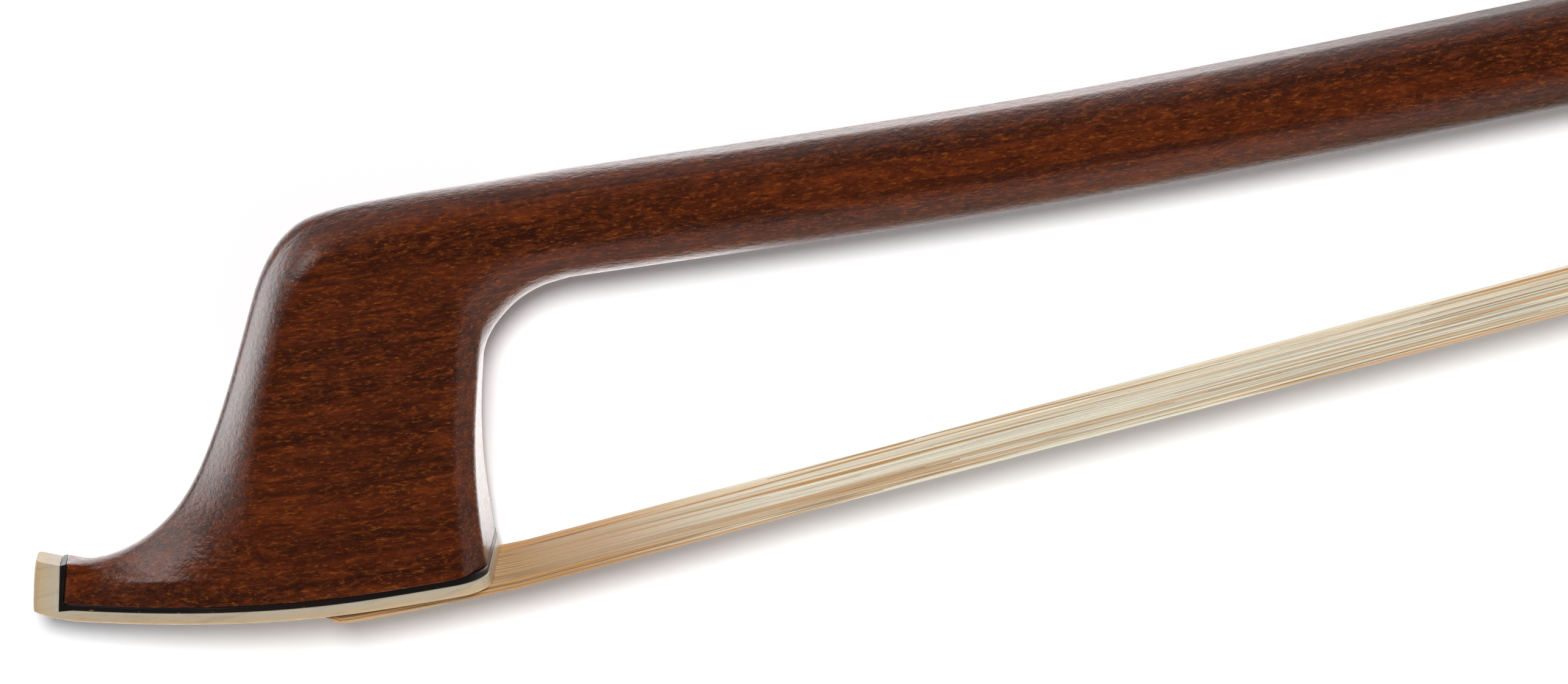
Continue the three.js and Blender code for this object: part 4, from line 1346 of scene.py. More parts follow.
    def round_beak(self, rings: np.ndarray) -> np.ndarray:
        """Rounds the beak's upper edges into half an ellipse under its crest line.

        Args:
            rings: The head's rings.

        Returns:
            The same rings, narrower just under the beak's crest.
        """
        x, y, z = (rings[..., k] for k in range(3))
        order = np.argsort(rings[:, 0, 0])
        top = np.interp(x, rings[order, 0, 0], rings[order, 0, 1])
        depth = share_of(top - y, 0, self.beak_round)
        limit = SIZES.facing_half_width(x) * np.sqrt(1 - (1 - depth) ** 2) + self.beak_least
        past_nose = x + SIZES.head_reach
        share = smooth_step(past_nose, *self.beak_start)
        share = share * (1 - smooth_step(past_nose, self.beak_reach, self.beak_end))
        share = share * (1 - smooth_step(depth, *self.beak_depth_shares))
        within = (np.abs(z) ** self.beak_power + limit**self.beak_power) ** (1 / self.beak_power)
        return np.stack((x, y, mixed(z, z * limit / within, share)), axis=-1)

    def build(self) -> None:
        """Makes the stick, cuts its mortise, slot and bore, and dresses it."""
        butt = SIZES.hair_length + SIZES.butt_reach * math.cos(SIZES.handle_tilt)
        nearer = self.join + self.shaft_near
        near = np.linspace(self.join, nearer, self.shaft_rows[0])
        far = np.linspace(nearer, butt - self.butt_ease, self.shaft_rows[1] + 1)[1:]
        shaft = self.rings(np.concatenate((near, far)))
        edge = self.rings(np.array((butt,)), -self.butt_ease)
        piece = Skin().grid(np.concatenate((self.head(), shaft, edge)), caps=True).object("carved_stick")
        ends = (self.bore_start, SIZES.butt_reach + self.bore_overrun)
        bore = turned([(x, self.bore_radius) for x in ends], self.bore_sides)
        bore = handle_piece(bore, True, "cutter")
        slot = box_cutter(self.slot_low, self.slot_high, Lie.HANDLE)
        mortise = box_cutter(SIZES.mortise_low, SIZES.mortise_high, Lie.BOW)
        cut_away(piece, (mortise, slot, bore))
        self.settle(piece, "stick", "stick", "stick_wood")


@dataclass
class Facing(Part):
    """The ebony liner and the ivory plate under the head, turned up at the nose."""

    nose_thickness: float = 1.95
    nose_top: float = 8.8
    beak_tip_shares: tuple[float, float] = (-1.001, 0.314)
    nose_shares: tuple[tuple[float, float, float], ...] = (
        (0.4, 0.1, 0), (0.71, 0.165, 0.08), (0.96, 0.245, 0.16), (1, 0.315, 0.25),
        (0.78, 0.62, 0.55), (0.57, 0.875, 0.85), (0.43, 1, 1),
    )
    liner_ease: float = 0.05
    plate_ease: float = 0.4
    ease_share: float = 1 / 3
    rows: int = 90
    nose_rows: int = 60
    face_points: int = 6
    side_points: int = 3
    arc_points: int = 7

    def strip(self, name: str, inner: np.ndarray, outer: np.ndarray, ease: float) -> bpy.types.Object:
        """A strip between an inner and an outer line, with quarter circles on its outer edges.

        Args:
            name: The piece's name.
            inner: Points of the line next to the wood, in the side view.
            outer: Points of the line away from it.
            ease: The radius of the rounded edges.

        Returns:
            The strip, with its mortise cut.
        """
        half = SIZES.facing_half_width(inner[:, 0])[:, None]
        half[self.rows :] = SIZES.nose_half_width
        thick = np.linalg.norm(outer - inner, axis=1)[:, None]
        ease = np.minimum(ease, thick * self.ease_share)
        eased = ease / thick
        arc = np.linspace(0, math.pi / 2, self.arc_points)
        side = np.linspace(0, 1, self.side_points + 2)[1:-1]
        down = np.concatenate((np.zeros(self.face_points), side))
        out = np.concatenate((np.linspace(0, 1, self.face_points), np.ones(self.side_points)))
        back = np.linspace(1, 0, self.face_points + 1)[1:]
        under = np.ones((len(inner), self.face_points))
        depth = np.hstack((down * (1 - eased), 1 - eased + eased * np.sin(arc), under))
        wide = np.hstack((out * half, half - ease + ease * np.cos(arc), back * (half - ease)))
        at = mixed(inner[:, None, :], outer[:, None, :], depth[..., None])
        rings = mirrored(np.concatenate((at, wide[..., None]), axis=-1))
        rim = np.concatenate((depth, depth[:, -2:0:-1]), axis=1)
        piece = Skin().grid(rings, caps=True, rim=rim).object(name)
        cut_away(piece, (box_cutter(SIZES.mortise_low, SIZES.mortise_high, Lie.BOW),))
        return piece

    def lines(
        self, upper: float, lower: float, nose_inner: np.ndarray, nose_outer: np.ndarray,
    ) -> tuple[np.ndarray, np.ndarray]:
        """The two lines of a strip: offsets of the sole, then a smooth curve up the nose.

        Args:
            upper: How far the inner line lies under the sole.
            lower: How far the outer line lies under the sole.
            nose_inner: The inner line's points at the nose.
            nose_outer: The outer line's points at the nose.

        Returns:
            The inner and the outer line.
        """
        share = np.linspace(0, 1, self.rows, endpoint=False)
        x = -SIZES.sole_reach * (1 - np.cos(share * math.pi / 2))
        t = np.linspace(0, 1, self.nose_rows)
        return tuple(
            np.vstack((np.column_stack((x, SIZES.sole(x) - under)), catmull(nose, t)))
            for under, nose in ((upper, nose_inner), (lower, nose_outer))
        )

    def nose_front(self, share: np.ndarray, off: float) -> np.ndarray:
        """Points in front of the nose's sloping face.

        Args:
            share: Shares of the face's rise.
            off: The distance from the face.

        Returns:
            Points in the side view.
        """
        tip = np.array(self.beak_tip_shares) * (SIZES.head_reach, SIZES.head_height)
        x = mixed(-SIZES.sole_reach, tip[0], share) - off
        return np.column_stack((x, mixed(SIZES.nose_height - off, tip[1], share)))

    def build(self) -> None:
        """Makes the liner and the plate."""
        glue = SIZES.glue_line
        liner_under = glue + SIZES.liner_thickness
        ends = np.array((0.0, 1.0))
        nose = self.nose_front(ends, glue), self.nose_front(ends, liner_under)
        liner = self.strip("ebony_liner_strip", *self.lines(glue, liner_under, *nose), self.liner_ease)
        self.settle(liner, "stick", "head_liner", "ebony", "ebony_liner")
        over = liner_under + glue
        under = over + SIZES.plate_thickness
        floor = SIZES.nose_height - under
        out, rise, face = np.array(self.nose_shares).T
        front = -SIZES.sole_reach - self.nose_thickness * out
        nose = self.nose_front(face, over), np.column_stack((front, mixed(floor, self.nose_top, rise)))
        plate = self.strip("ivory_facing", *self.lines(over, under, *nose), self.plate_ease)
        self.settle(plate, "stick", "tip_plate", "tip_ivory")


@dataclass
class Hair(Part):
    """The ribbon of hair: loose strands side by side on one route, knotted at each end."""

    strands: int = 250
    strand_radius: float = 0.095
    sides: int = 5
    head_half_width: float = 4.0
    frog_half_width: float = 5.0
    bend: float = 0.95
    bend_points: int = 14
    plate_points: int = 13
    free_points: int = 58
    knot_points: int = 6
    level_reach: float = 200.0
    spread_start: float = 3.25
    spread_end: float = 13.0
    channel_end: float = 16.0
    station_reaches: Place = (12.0, 100.0, 36.0)
    station_counts: tuple[int, ...] = (20, 16, 12, 17)
    tangent_reach: float = 0.3
    radius_shares: Reach = (0.8, 1.1)
    jumble: float = 2.0
    wave_lengths: Reach = (30.0, 150.0)
    free_reach: float = 14.0
    wander: float = 0.14
    lift_wander: float = 0.5
    honey_odds: float = 0.12
    honey_shares: Reach = (0.3, 1.0)
    # How strongly, and over what reach in x, the strands turn darker and more golden towards the head.
    gold_near_head: float = 0.9
    gold_near_head_reach: Reach = (1.0, 24.0)
    held_head: float = 20.0
    held_frog: float = 10.0
    thread_radius: float = 1.12
    thread_ripple: float = 0.06
    thread_pitch: float = 0.45
    knot_end: float = 0.5
    knot_end_share: float = 0.55
    knot_rows: int = 120
    knot_sides: int = 28
    seed: int = 7

    def quarter(self, x: float, y: float, start: float) -> np.ndarray:
        """A quarter circle of the ribbon's bend about a middle, from an angle on."""
        turn = np.linspace(start, start + math.pi / 2, self.bend_points)
        return np.column_stack((x + self.bend * np.cos(turn), y + self.bend * np.sin(turn)))

    def route(self) -> np.ndarray:
        """The ribbon's middle line in the side view, from the head's knot to the frog's.

        Returns:
            Points close together along the route.
        """
        half = SIZES.hair_thickness / 2
        glue = SIZES.glue_line
        under = glue * 3 + SIZES.liner_thickness + SIZES.plate_thickness
        knot_drop = SIZES.knot_room + 2 * SIZES.knot_radius + glue
        head_x = SIZES.head_hair_x
        bend_x = head_x + self.bend
        plate_x = np.linspace(bend_x, 0, self.plate_points + 1)
        plate_y = SIZES.sole(plate_x) - under - SIZES.hair_half(plate_x)
        bend_y = plate_y[0] + self.bend
        head_arc = self.quarter(bend_x, bend_y, math.pi)
        plate = np.column_stack((plate_x, plate_y))[1:]
        rise = np.linspace(SIZES.mortise_high[1] - knot_drop, bend_y, self.knot_points, endpoint=False)
        start = np.column_stack((np.full(self.knot_points, head_x), rise))
        ferrule_y = SIZES.frog_floor + SIZES.ferrule_wall + glue + half
        channel_y = SIZES.frog_floor + SIZES.slide_pearl + SIZES.slide_backing + 3 * glue + half
        back_x = SIZES.frog_mortise_rear - SIZES.knot_room - half
        frog_arc = self.quarter(back_x - self.bend, channel_y + self.bend, -math.pi / 2)
        frog = np.vstack((
            (0, ferrule_y), (self.spread_start, ferrule_y), (self.spread_end, channel_y),
            (self.channel_end, channel_y), frog_arc, (back_x, SIZES.frog_mortise_top - knot_drop),
        ))
        frog = SIZES.from_handle(np.column_stack((frog, np.zeros(len(frog)))))[:, :2]
        x = np.linspace(0, frog[0, 0], self.free_points + 2)[1:-1]
        levels = np.interp(x, (0, self.level_reach, frog[0, 0]), (plate[-1, 1], 0.0, frog[0, 1]))
        return np.vstack((start, head_arc, plate, np.column_stack((x, levels)), frog))

    def stations(self) -> tuple[np.ndarray, np.ndarray, np.ndarray]:
        """Stations along the route, closer together where it bends, with the ribbon's normals there.

        Returns:
            Distances along the route, points in the side view, and unit normals.
        """
        route = self.route()
        run = np.concatenate(((0,), np.cumsum(np.linalg.norm(np.diff(route, axis=0), axis=1))))
        near, far, tail = self.station_reaches
        marks = (0, near, far, run[-1] - tail, run[-1])
        spans = zip(marks, marks[1:], self.station_counts)
        along = np.concatenate([np.linspace(a, b, n, endpoint=False) for a, b, n in spans] + [run[-1:]])
        at, ahead, behind = (
            np.column_stack([np.interp(along + step, run, route[:, k]) for k in range(2)])
            for step in (0, self.tangent_reach, -self.tangent_reach)
        )
        tangent = (ahead - behind) / np.linalg.norm(ahead - behind, axis=1)[:, None]
        return along, at, np.column_stack((-tangent[:, 1], tangent[:, 0]))

    def build(self) -> None:
        """Makes the strands, each a thin tube that wanders a little in the ribbon, and the knots."""
        rng = np.random.default_rng(self.seed)
        count = self.strands
        along, at, normal = self.stations()
        radius = self.strand_radius * rng.uniform(*self.radius_shares, count)
        across = (np.arange(count) + rng.uniform(-self.jumble, self.jumble, count)) / (count - 1)
        across = np.clip(2 * across - 1, -1, 1)
        lift = rng.uniform(-1, 1, count)
        width = mixed(self.head_half_width, self.frog_half_width, share_of(at[:, 0], 0, SIZES.hair_length))
        room = SIZES.hair_half(at[:, 0]) - self.strand_radius
        wave = rng.uniform(*self.wave_lengths, (2, count, 1))
        phase = rng.uniform(0, TAU, (2, count, 1))
        free = np.sin(share_of(along, 0, self.free_reach) * math.pi / 2)
        sway = np.sin(TAU * along / wave + phase) * free
        side = np.clip(across[:, None] + self.wander * sway[0] / width, -1, 1)
        side = side * (width - self.strand_radius)
        rise = np.clip(lift[:, None] + self.lift_wander * sway[1], -1, 1) * room
        turn = np.arange(self.sides) * TAU / self.sides
        up = rise[..., None] + radius[:, None, None] * np.cos(turn)
        out = side[..., None] + radius[:, None, None] * np.sin(turn)
        x, y = (at[None, :, None, k] + normal[None, :, None, k] * up for k in range(2))
        points = np.stack((x, y, out), axis=-1)
        tone = rng.uniform(0, 1, count)
        honey = (rng.uniform(0, 1, count) < self.honey_odds) * rng.uniform(*self.honey_shares, count)
        # Strands are darker and more golden towards the head, fading out along the reach in x.
        gold_near_head = self.gold_near_head * (1 - smooth_step(at[:, 0], *self.gold_near_head_reach))
        skin = Skin()
        shape = np.ones((len(along), self.sides))
        for k in range(count):
            golden = np.maximum(gold_near_head, honey[k])[:, None]
            skin.grid(points[k], caps=True, tone=shape * tone[k], honey=shape * golden)
        piece = skin.object("hair_strands")
        piece.data.materials.append(self.finishes["hair"])
        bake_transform(piece)
        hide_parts("hair_ribbon")
        log.info("hair_strands has %d strands", count)
        self.build_knots()

    def build_knots(self) -> None:
        """Binds the hair's end in the head's mortise and its end in the frog's."""
        tuck = SIZES.knot_room + SIZES.knot_radius
        head = SIZES.mortise_low[0] + tuck, SIZES.mortise_high[1] - tuck
        frog = SIZES.frog_mortise_rear - tuck, SIZES.frog_mortise_top - tuck
        piece = self.knot("head_knot_binding", head, self.head_half_width, Lie.BOW)
        self.settle(piece, "stick", "head_hair_knot", "knot_thread")
        piece = self.knot("frog_knot_binding", frog, self.frog_half_width, Lie.HANDLE)
        self.settle(piece, "frog", "frog_hair_knot", "knot_thread")

    def knot(self, name: str, place: tuple[float, float], half: float, lie: Lie) -> bpy.types.Object:
        """A bound knot: a roll along z whose radius ripples with the turns of thread.

        Args:
            name: The piece's name.
            place: Its middle in the side view.
            half: Half its length.
            lie: The frame of its place.

        Returns:
            The knot.
        """
        z = np.linspace(-half, half, self.knot_rows)
        fade = share_of(half - np.abs(z), 0, self.knot_end) ** 0.5
        ripple = self.thread_ripple * np.cos(z * TAU / self.thread_pitch)
        radius = (self.thread_radius + ripple) * mixed(self.knot_end_share, 1, fade)
        roll = stood_up(turned(list(zip(z, radius)), self.knot_sides), *place)
        return Skin().grid(roll, caps=True).object(name, lie)


@dataclass
class Grip(Part):
    """The thumb leather and the silver wire wound ahead of it."""

    stick: Stick
    leather_length: float = 26.0
    leather_rear: float = 2.5
    leather_thickness: float = 0.8
    leather_ridge: float = 1.4
    leather_shares: tuple[Place, ...] = (
        (0, 0.5, 0), (0.05, 0.92, 0), (0.12, 1, 0), (0.78, 1, 0), (0.85, 0.6, 0.6), (0.905, 0, 1),
        (0.96, 0.6, 0.6), (1, 0.75, 0),
    )
    leather_rows: int = 110
    leather_sides: int = 96
    leather_blur: int = 3
    winding_length: float = 74.0
    winding_thickness: float = 0.42
    winding_gap: float = 0.2
    winding_sides: int = 48
    wire_pitch: float = 0.42
    wire_rows: int = 6
    wire_roundness: float = 0.7
    wire_low_share: float = 0.45
    wire_end_share: float = 0.5
    inner_step: int = 8
    gap: float = 0.1

    @property
    def leather_start(self) -> float:
        """Where the leather begins along the bow."""
        return SIZES.hair_length + self.leather_rear - self.leather_length

    def sleeve(self, x: np.ndarray, swell: np.ndarray, sides: int, step: int) -> np.ndarray:
        """Rings of a sleeve round the stick, out along its swell and back inside it at a step."""
        outer = self.stick.rings(x, swell, sides)
        return np.concatenate((outer, self.stick.rings(x[::step], self.gap, sides)[::-1]))

    def build(self) -> None:
        """Makes the leather, thicker at its ridge, and the winding, rippled by its turns of wire."""
        share = np.linspace(0, 1, self.leather_rows)
        place, flat, ridge = np.array(self.leather_shares).T
        thickness = flat * self.leather_thickness + ridge * self.leather_ridge
        swell = np.interp(share, place, thickness) + self.gap
        blur = 2 * self.leather_blur + 1
        swell = np.convolve(np.pad(swell, self.leather_blur, "edge"), np.ones(blur) / blur, "valid")
        x = self.leather_start + share * self.leather_length
        rings = soften(self.sleeve(x, swell, self.leather_sides, 1), 1)
        leather = Skin().grid(rings, close_rows=True).object("thumb_grip")
        self.settle(leather, "stick", "thumb_leather", "grip_leather")
        end = self.leather_start - self.winding_gap
        start = end - self.winding_length
        x = np.linspace(start, end, int(self.winding_length / self.wire_pitch * self.wire_rows))
        turn = np.arange(self.winding_sides) / self.winding_sides
        ripple = np.abs(np.sin(math.pi * (x[:, None] / self.wire_pitch - turn))) ** self.wire_roundness
        fade = share_of(np.minimum(x - start, end - x), 0, self.winding_gap)[:, None]
        swell = self.winding_thickness * mixed(self.wire_low_share, 1, ripple)
        swell = self.gap + swell * mixed(self.wire_end_share, 1, fade)
        rings = self.sleeve(x, swell, self.winding_sides, self.inner_step)
        winding = Skin().grid(rings, close_rows=True).object("wire_lapping")
        self.settle(winding, "stick", "silver_winding", "winding_wire")


@dataclass
class Frog(Part):
    """The frog with its ferrule, slide, heel plates and eyes."""

    ferrule_length: float = 13.0
    ferrule_side: float = 4.2
    ferrule_height: float = 9.2
    corner: float = 0.1
    floor_margin: float = 0.35
    floor_points: int = 15
    side_points: int = 7
    arch_points: int = 40
    rim_points: int = 9
    rim_margin: float = 0.6
    groove_depth: float = 0.1
    groove_place: float = 1.6
    groove_width: float = 0.22
    groove_rows: int = 60
    inner_rows: int = 6
    eye_place: float = 31.0
    eye_rise: float = 12.0
    eye_ring: float = 4.0
    eye_pearl: float = 2.9
    eye_sink: float = 0.05
    eye_depth: float = 0.8
    eye_ease: float = 0.12
    eye_dome: float = 0.14
    eye_sides: int = 72

    def ferrule_ring(self, x: float, inset: float) -> np.ndarray:
        """The ferrule's outline at a place: a flat floor, two short sides and half an ellipse.

        Args:
            x: The place along the handle.
            inset: How far the outline is drawn in.

        Returns:
            Points round the outline.
        """
        wide = SIZES.frog_half_width - inset
        floor = SIZES.frog_floor + inset
        shoulder = SIZES.frog_floor + self.ferrule_side
        tall = self.ferrule_height - self.ferrule_side - inset
        arch = np.linspace(0, math.pi, self.arch_points)
        base = np.linspace(self.floor_margin - wide, wide - self.floor_margin, self.floor_points)
        side = np.linspace(floor, shoulder, self.side_points + 2)[1:-1] + self.corner
        corner = (floor + self.corner,)
        upright = np.full(self.side_points, wide)
        z = (base, (wide - self.corner,), upright, wide * np.cos(arch), -upright, (self.corner - wide,))
        y = (np.full_like(base, floor), corner, side, shoulder + tall * np.sin(arch), side[::-1], corner)
        z, y = np.concatenate(z), np.concatenate(y)
        return np.column_stack((np.full_like(z, x), y, z))

    def build_ferrule(self) -> None:
        """Carries the ferrule's outline along the handle, out and back, with half-round rims."""
        wall, length, margin = SIZES.ferrule_wall, self.ferrule_length, self.rim_margin
        turn = np.linspace(0, math.pi, self.rim_points)
        rows = [(wall / 2 * (1 - math.sin(a)), wall / 2 * (1 - math.cos(a))) for a in turn]
        middle = length - self.groove_place
        places = np.linspace(margin, length - margin, self.groove_rows)
        groove = [(x, self.groove_depth * bell(x, middle, self.groove_width)) for x in places]
        rear = [(length - x, inset) for x, inset in rows]
        inner = [(x, wall) for x in np.linspace(length - margin, margin, self.inner_rows)]
        rings = [self.ferrule_ring(x, inset) for x, inset in (*rows[::-1], *groove, *rear, *inner)]
        piece = handle_piece(np.stack(rings), False, "frog_ferrule")
        self.settle(piece, "frog", "ferrule", "silver")

    def build_eyes(self) -> None:
        """Turns a ring and a domed pearl for each cheek."""
        face = SIZES.frog_half_width - self.eye_sink
        back, eased = face - self.eye_depth, face - self.eye_ease
        outer, inner = self.eye_ring, self.eye_pearl + SIZES.glue_line
        ring = [(back, outer), (eased, outer), (face, outer - self.eye_ease),
                (face, inner + self.eye_ease), (eased, inner), (back, inner)]
        pearl = dome(back, face, self.eye_dome, self.eye_pearl)
        kinds = (
            ("eye_setting", "eye_ring", ring, False, "silver"),
            ("eye_disc", "eye_pearl", pearl, True, "pearl"),
        )
        for cheek, side in (("left", 1), ("right", -1)):
            for name, node, rows, solid, slot in kinds:
                points = turned([(side * z, r) for z, r in rows], self.eye_sides)
                points = stood_up(points, self.eye_place, SIZES.frog_floor + self.eye_rise)
                piece = handle_piece(points, solid, f"{name}_{cheek}")
                self.settle(piece, "frog", f"{node}_{cheek}", slot)

    def build(self) -> None:
        """Makes the ferrule and eyes, and eases the edges of the other pieces."""
        self.build_ferrule()
        self.build_eyes()
        eased = [
            ("frog_body", "frog_block", 0.22, "ebony"),
            ("frog_underslide", "groove_lining", 0.06, "silver"),
            ("heel_plate_rear", "heel_shield", 0.14, "silver"),
            ("heel_plate_bottom", "heel_shoe", 0.14, "silver"),
            ("slide_backing", "slide_block", 0.08, "ebony"),
            ("slide_pearl", "slide_facing", 0.08, "pearl"),
            ("spread_wedge", "ferrule_wedge", 0.08, "plug_maple"),
            ("frog_plug", "frog_mortise_plug", 0.12, "plug_maple"),
            ("eyelet", "drawn_eyelet", 0.15, "brass"),
        ]
        for end in ("front", "rear"):
            eased.append((f"underslide_screw_{end}", f"lining_screw_{end}", 0.08, "silver"))
        for row in ("upper", "middle", "lower"):
            eased.append((f"heel_pin_{row}", f"shield_pin_{row}", 0.06, "silver"))
        for node, name, width, slot in eased:
            self.settle(eased_copy(node, name, width), "frog", node, slot)


@dataclass
class Adjuster(Part):
    """The screw and its ebony and silver button with a pearl eye."""

    gap: float = 0.3
    length: float = 16.5
    flats: float = 10.6
    corner_blunt: float = 0.12
    ring_length: float = 5.1
    edge_inset: float = 0.3
    edge_ease: float = 0.1
    face_inset: float = 0.09
    groove_depth: float = 0.32
    groove_place: float = 1.25
    groove_width: float = 0.2
    groove_rows: int = 50
    core_radius: float = 3.6
    waist_radius: float = 4.9
    swell_radius: float = 5.2
    hollow_shares: Reach = (0.02, 0.98)
    hollow_rows: int = 30
    eye_radius: float = 2.7
    eye_depth: float = 0.8
    eye_floor: float = 0.6
    eye_sink: float = 0.05
    eye_dome: float = 0.2
    least_radius: float = 0.05
    sides: int = 96
    screw_radius: float = 1.6
    screw_depth: float = 10.0
    screw_start: float = 14.0
    tip_radius: float = 0.8
    tip_length: float = 0.4
    neck_radius: float = 1.2
    thread_start: float = 21.0
    thread_end: float = 46.0
    thread_fade: float = 0.3
    thread_depth: float = 0.3
    thread_pitch: float = 0.6
    thread_rows: int = 8
    screw_sides: int = 40

    @property
    def start(self) -> float:
        """Where the button begins along the handle."""
        return SIZES.butt_reach + self.gap

    def band(self, low: float, high: float, groove: float) -> Profile:
        """The outside of an eight-sided silver ring: eased edges and a turned groove.

        Args:
            low: Where it begins along the handle.
            high: Where it ends.
            groove: The middle of its groove, cut to the depth of a bell curve.

        Returns:
            Places along the handle with radii.
        """
        eight = octagon_radius(np.arange(self.sides) * TAU / self.sides, self.flats, self.corner_blunt)
        places = np.linspace(low + self.edge_inset, high - self.edge_inset, self.groove_rows)
        grooved = [(x, eight - self.groove_depth * bell(x, groove, self.groove_width)) for x in places]
        edge, face = eight - self.edge_inset, eight - self.face_inset
        ease = self.edge_ease
        return [(low, edge), (low + ease, face), *grooved, (high - ease, face), (high, edge)]

    def build(self) -> None:
        """Makes the screw, the two silver rings, the ebony core and the eye."""
        start, end = self.start, self.start + self.length
        front, cap = start + self.ring_length, end - self.ring_length
        glue, least, core, swell = SIZES.glue_line, self.least_radius, self.core_radius, self.swell_radius
        hole, eye_hole = core + glue, self.eye_radius + glue
        ring = [(start, hole), *self.band(start, front, start + self.groove_place), (front, hole)]
        eye_back, floor = end - self.eye_depth, end - self.eye_depth - self.eye_floor
        ease = self.edge_ease
        shell = [(floor, least), (floor, hole), (cap, hole), *self.band(cap, end, end - self.groove_place),
                 (end, eye_hole + ease), (end - ease, eye_hole), (eye_back, eye_hole), (eye_back, least)]
        low, high = front + glue, cap - glue
        waist = [(mixed(low, high, q), swell - (swell - self.waist_radius) * math.sin(q * math.pi))
                 for q in np.linspace(*self.hollow_shares, self.hollow_rows)]
        bore, deep = self.screw_radius + glue, start + self.screw_depth + glue
        body = [(start + glue, bore), (start + glue, core), (low, core), (low, swell - ease), *waist,
                (high, swell - ease), (high, core), (floor - glue, core), (floor - glue, least),
                (deep, least), (deep, bore)]
        pearl = dome(eye_back + glue, end - self.eye_sink, self.eye_dome, self.eye_radius)
        for name, node, rows, solid, slot in (
            ("button_ring", "button_front_ring", ring, False, "silver"),
            ("button_cap", "button_end_cap", shell, True, "silver"),
            ("button_body", "button_core", body, False, "ebony"),
            ("button_pearl", "button_eye", pearl, True, "pearl"),
        ):
            piece = handle_piece(turned(rows, self.sides), solid, name)
            self.settle(piece, "adjuster", node, slot)
        self.build_screw()

    def build_screw(self) -> None:
        """Turns the screw, whose thread is a ripple that runs round as it runs along."""
        neck, full, fade = self.neck_radius, self.screw_radius, self.thread_fade
        x = np.arange(self.thread_start, self.thread_end, self.thread_pitch / self.thread_rows)
        turn = np.arange(self.screw_sides) / self.screw_sides
        groove = np.abs(np.sin(math.pi * (x[:, None] / self.thread_pitch - turn)))
        radius = full - self.thread_depth + self.thread_depth * groove
        rows = [(self.screw_start, self.tip_radius), (self.screw_start + self.tip_length, neck),
                (self.thread_start - fade, neck), *zip(x, radius), (self.thread_end + fade, full),
                (self.start + self.screw_depth, full)]
        piece = handle_piece(turned(rows, self.screw_sides), True, "adjuster_spindle")
        self.settle(piece, "adjuster", "adjuster_screw", "screw_steel")


@dataclass
class Head(Part):
    """What the head's mortise holds."""

    plug_ease: float = 0.12

    def build(self) -> None:
        """Eases the plug's edges."""
        plug = eased_copy("head_plug", "head_mortise_plug", self.plug_ease)
        self.settle(plug, "stick", "head_plug", "plug_maple")


# Studio


@dataclass(frozen=True)
class Sun:
    """A far lamp: where it shines from, how wide it looks in degrees, and what it lights."""

    name: str
    source: Place
    strength: float
    width: float
    on_surfaces: bool = True
    in_reflections: bool = True


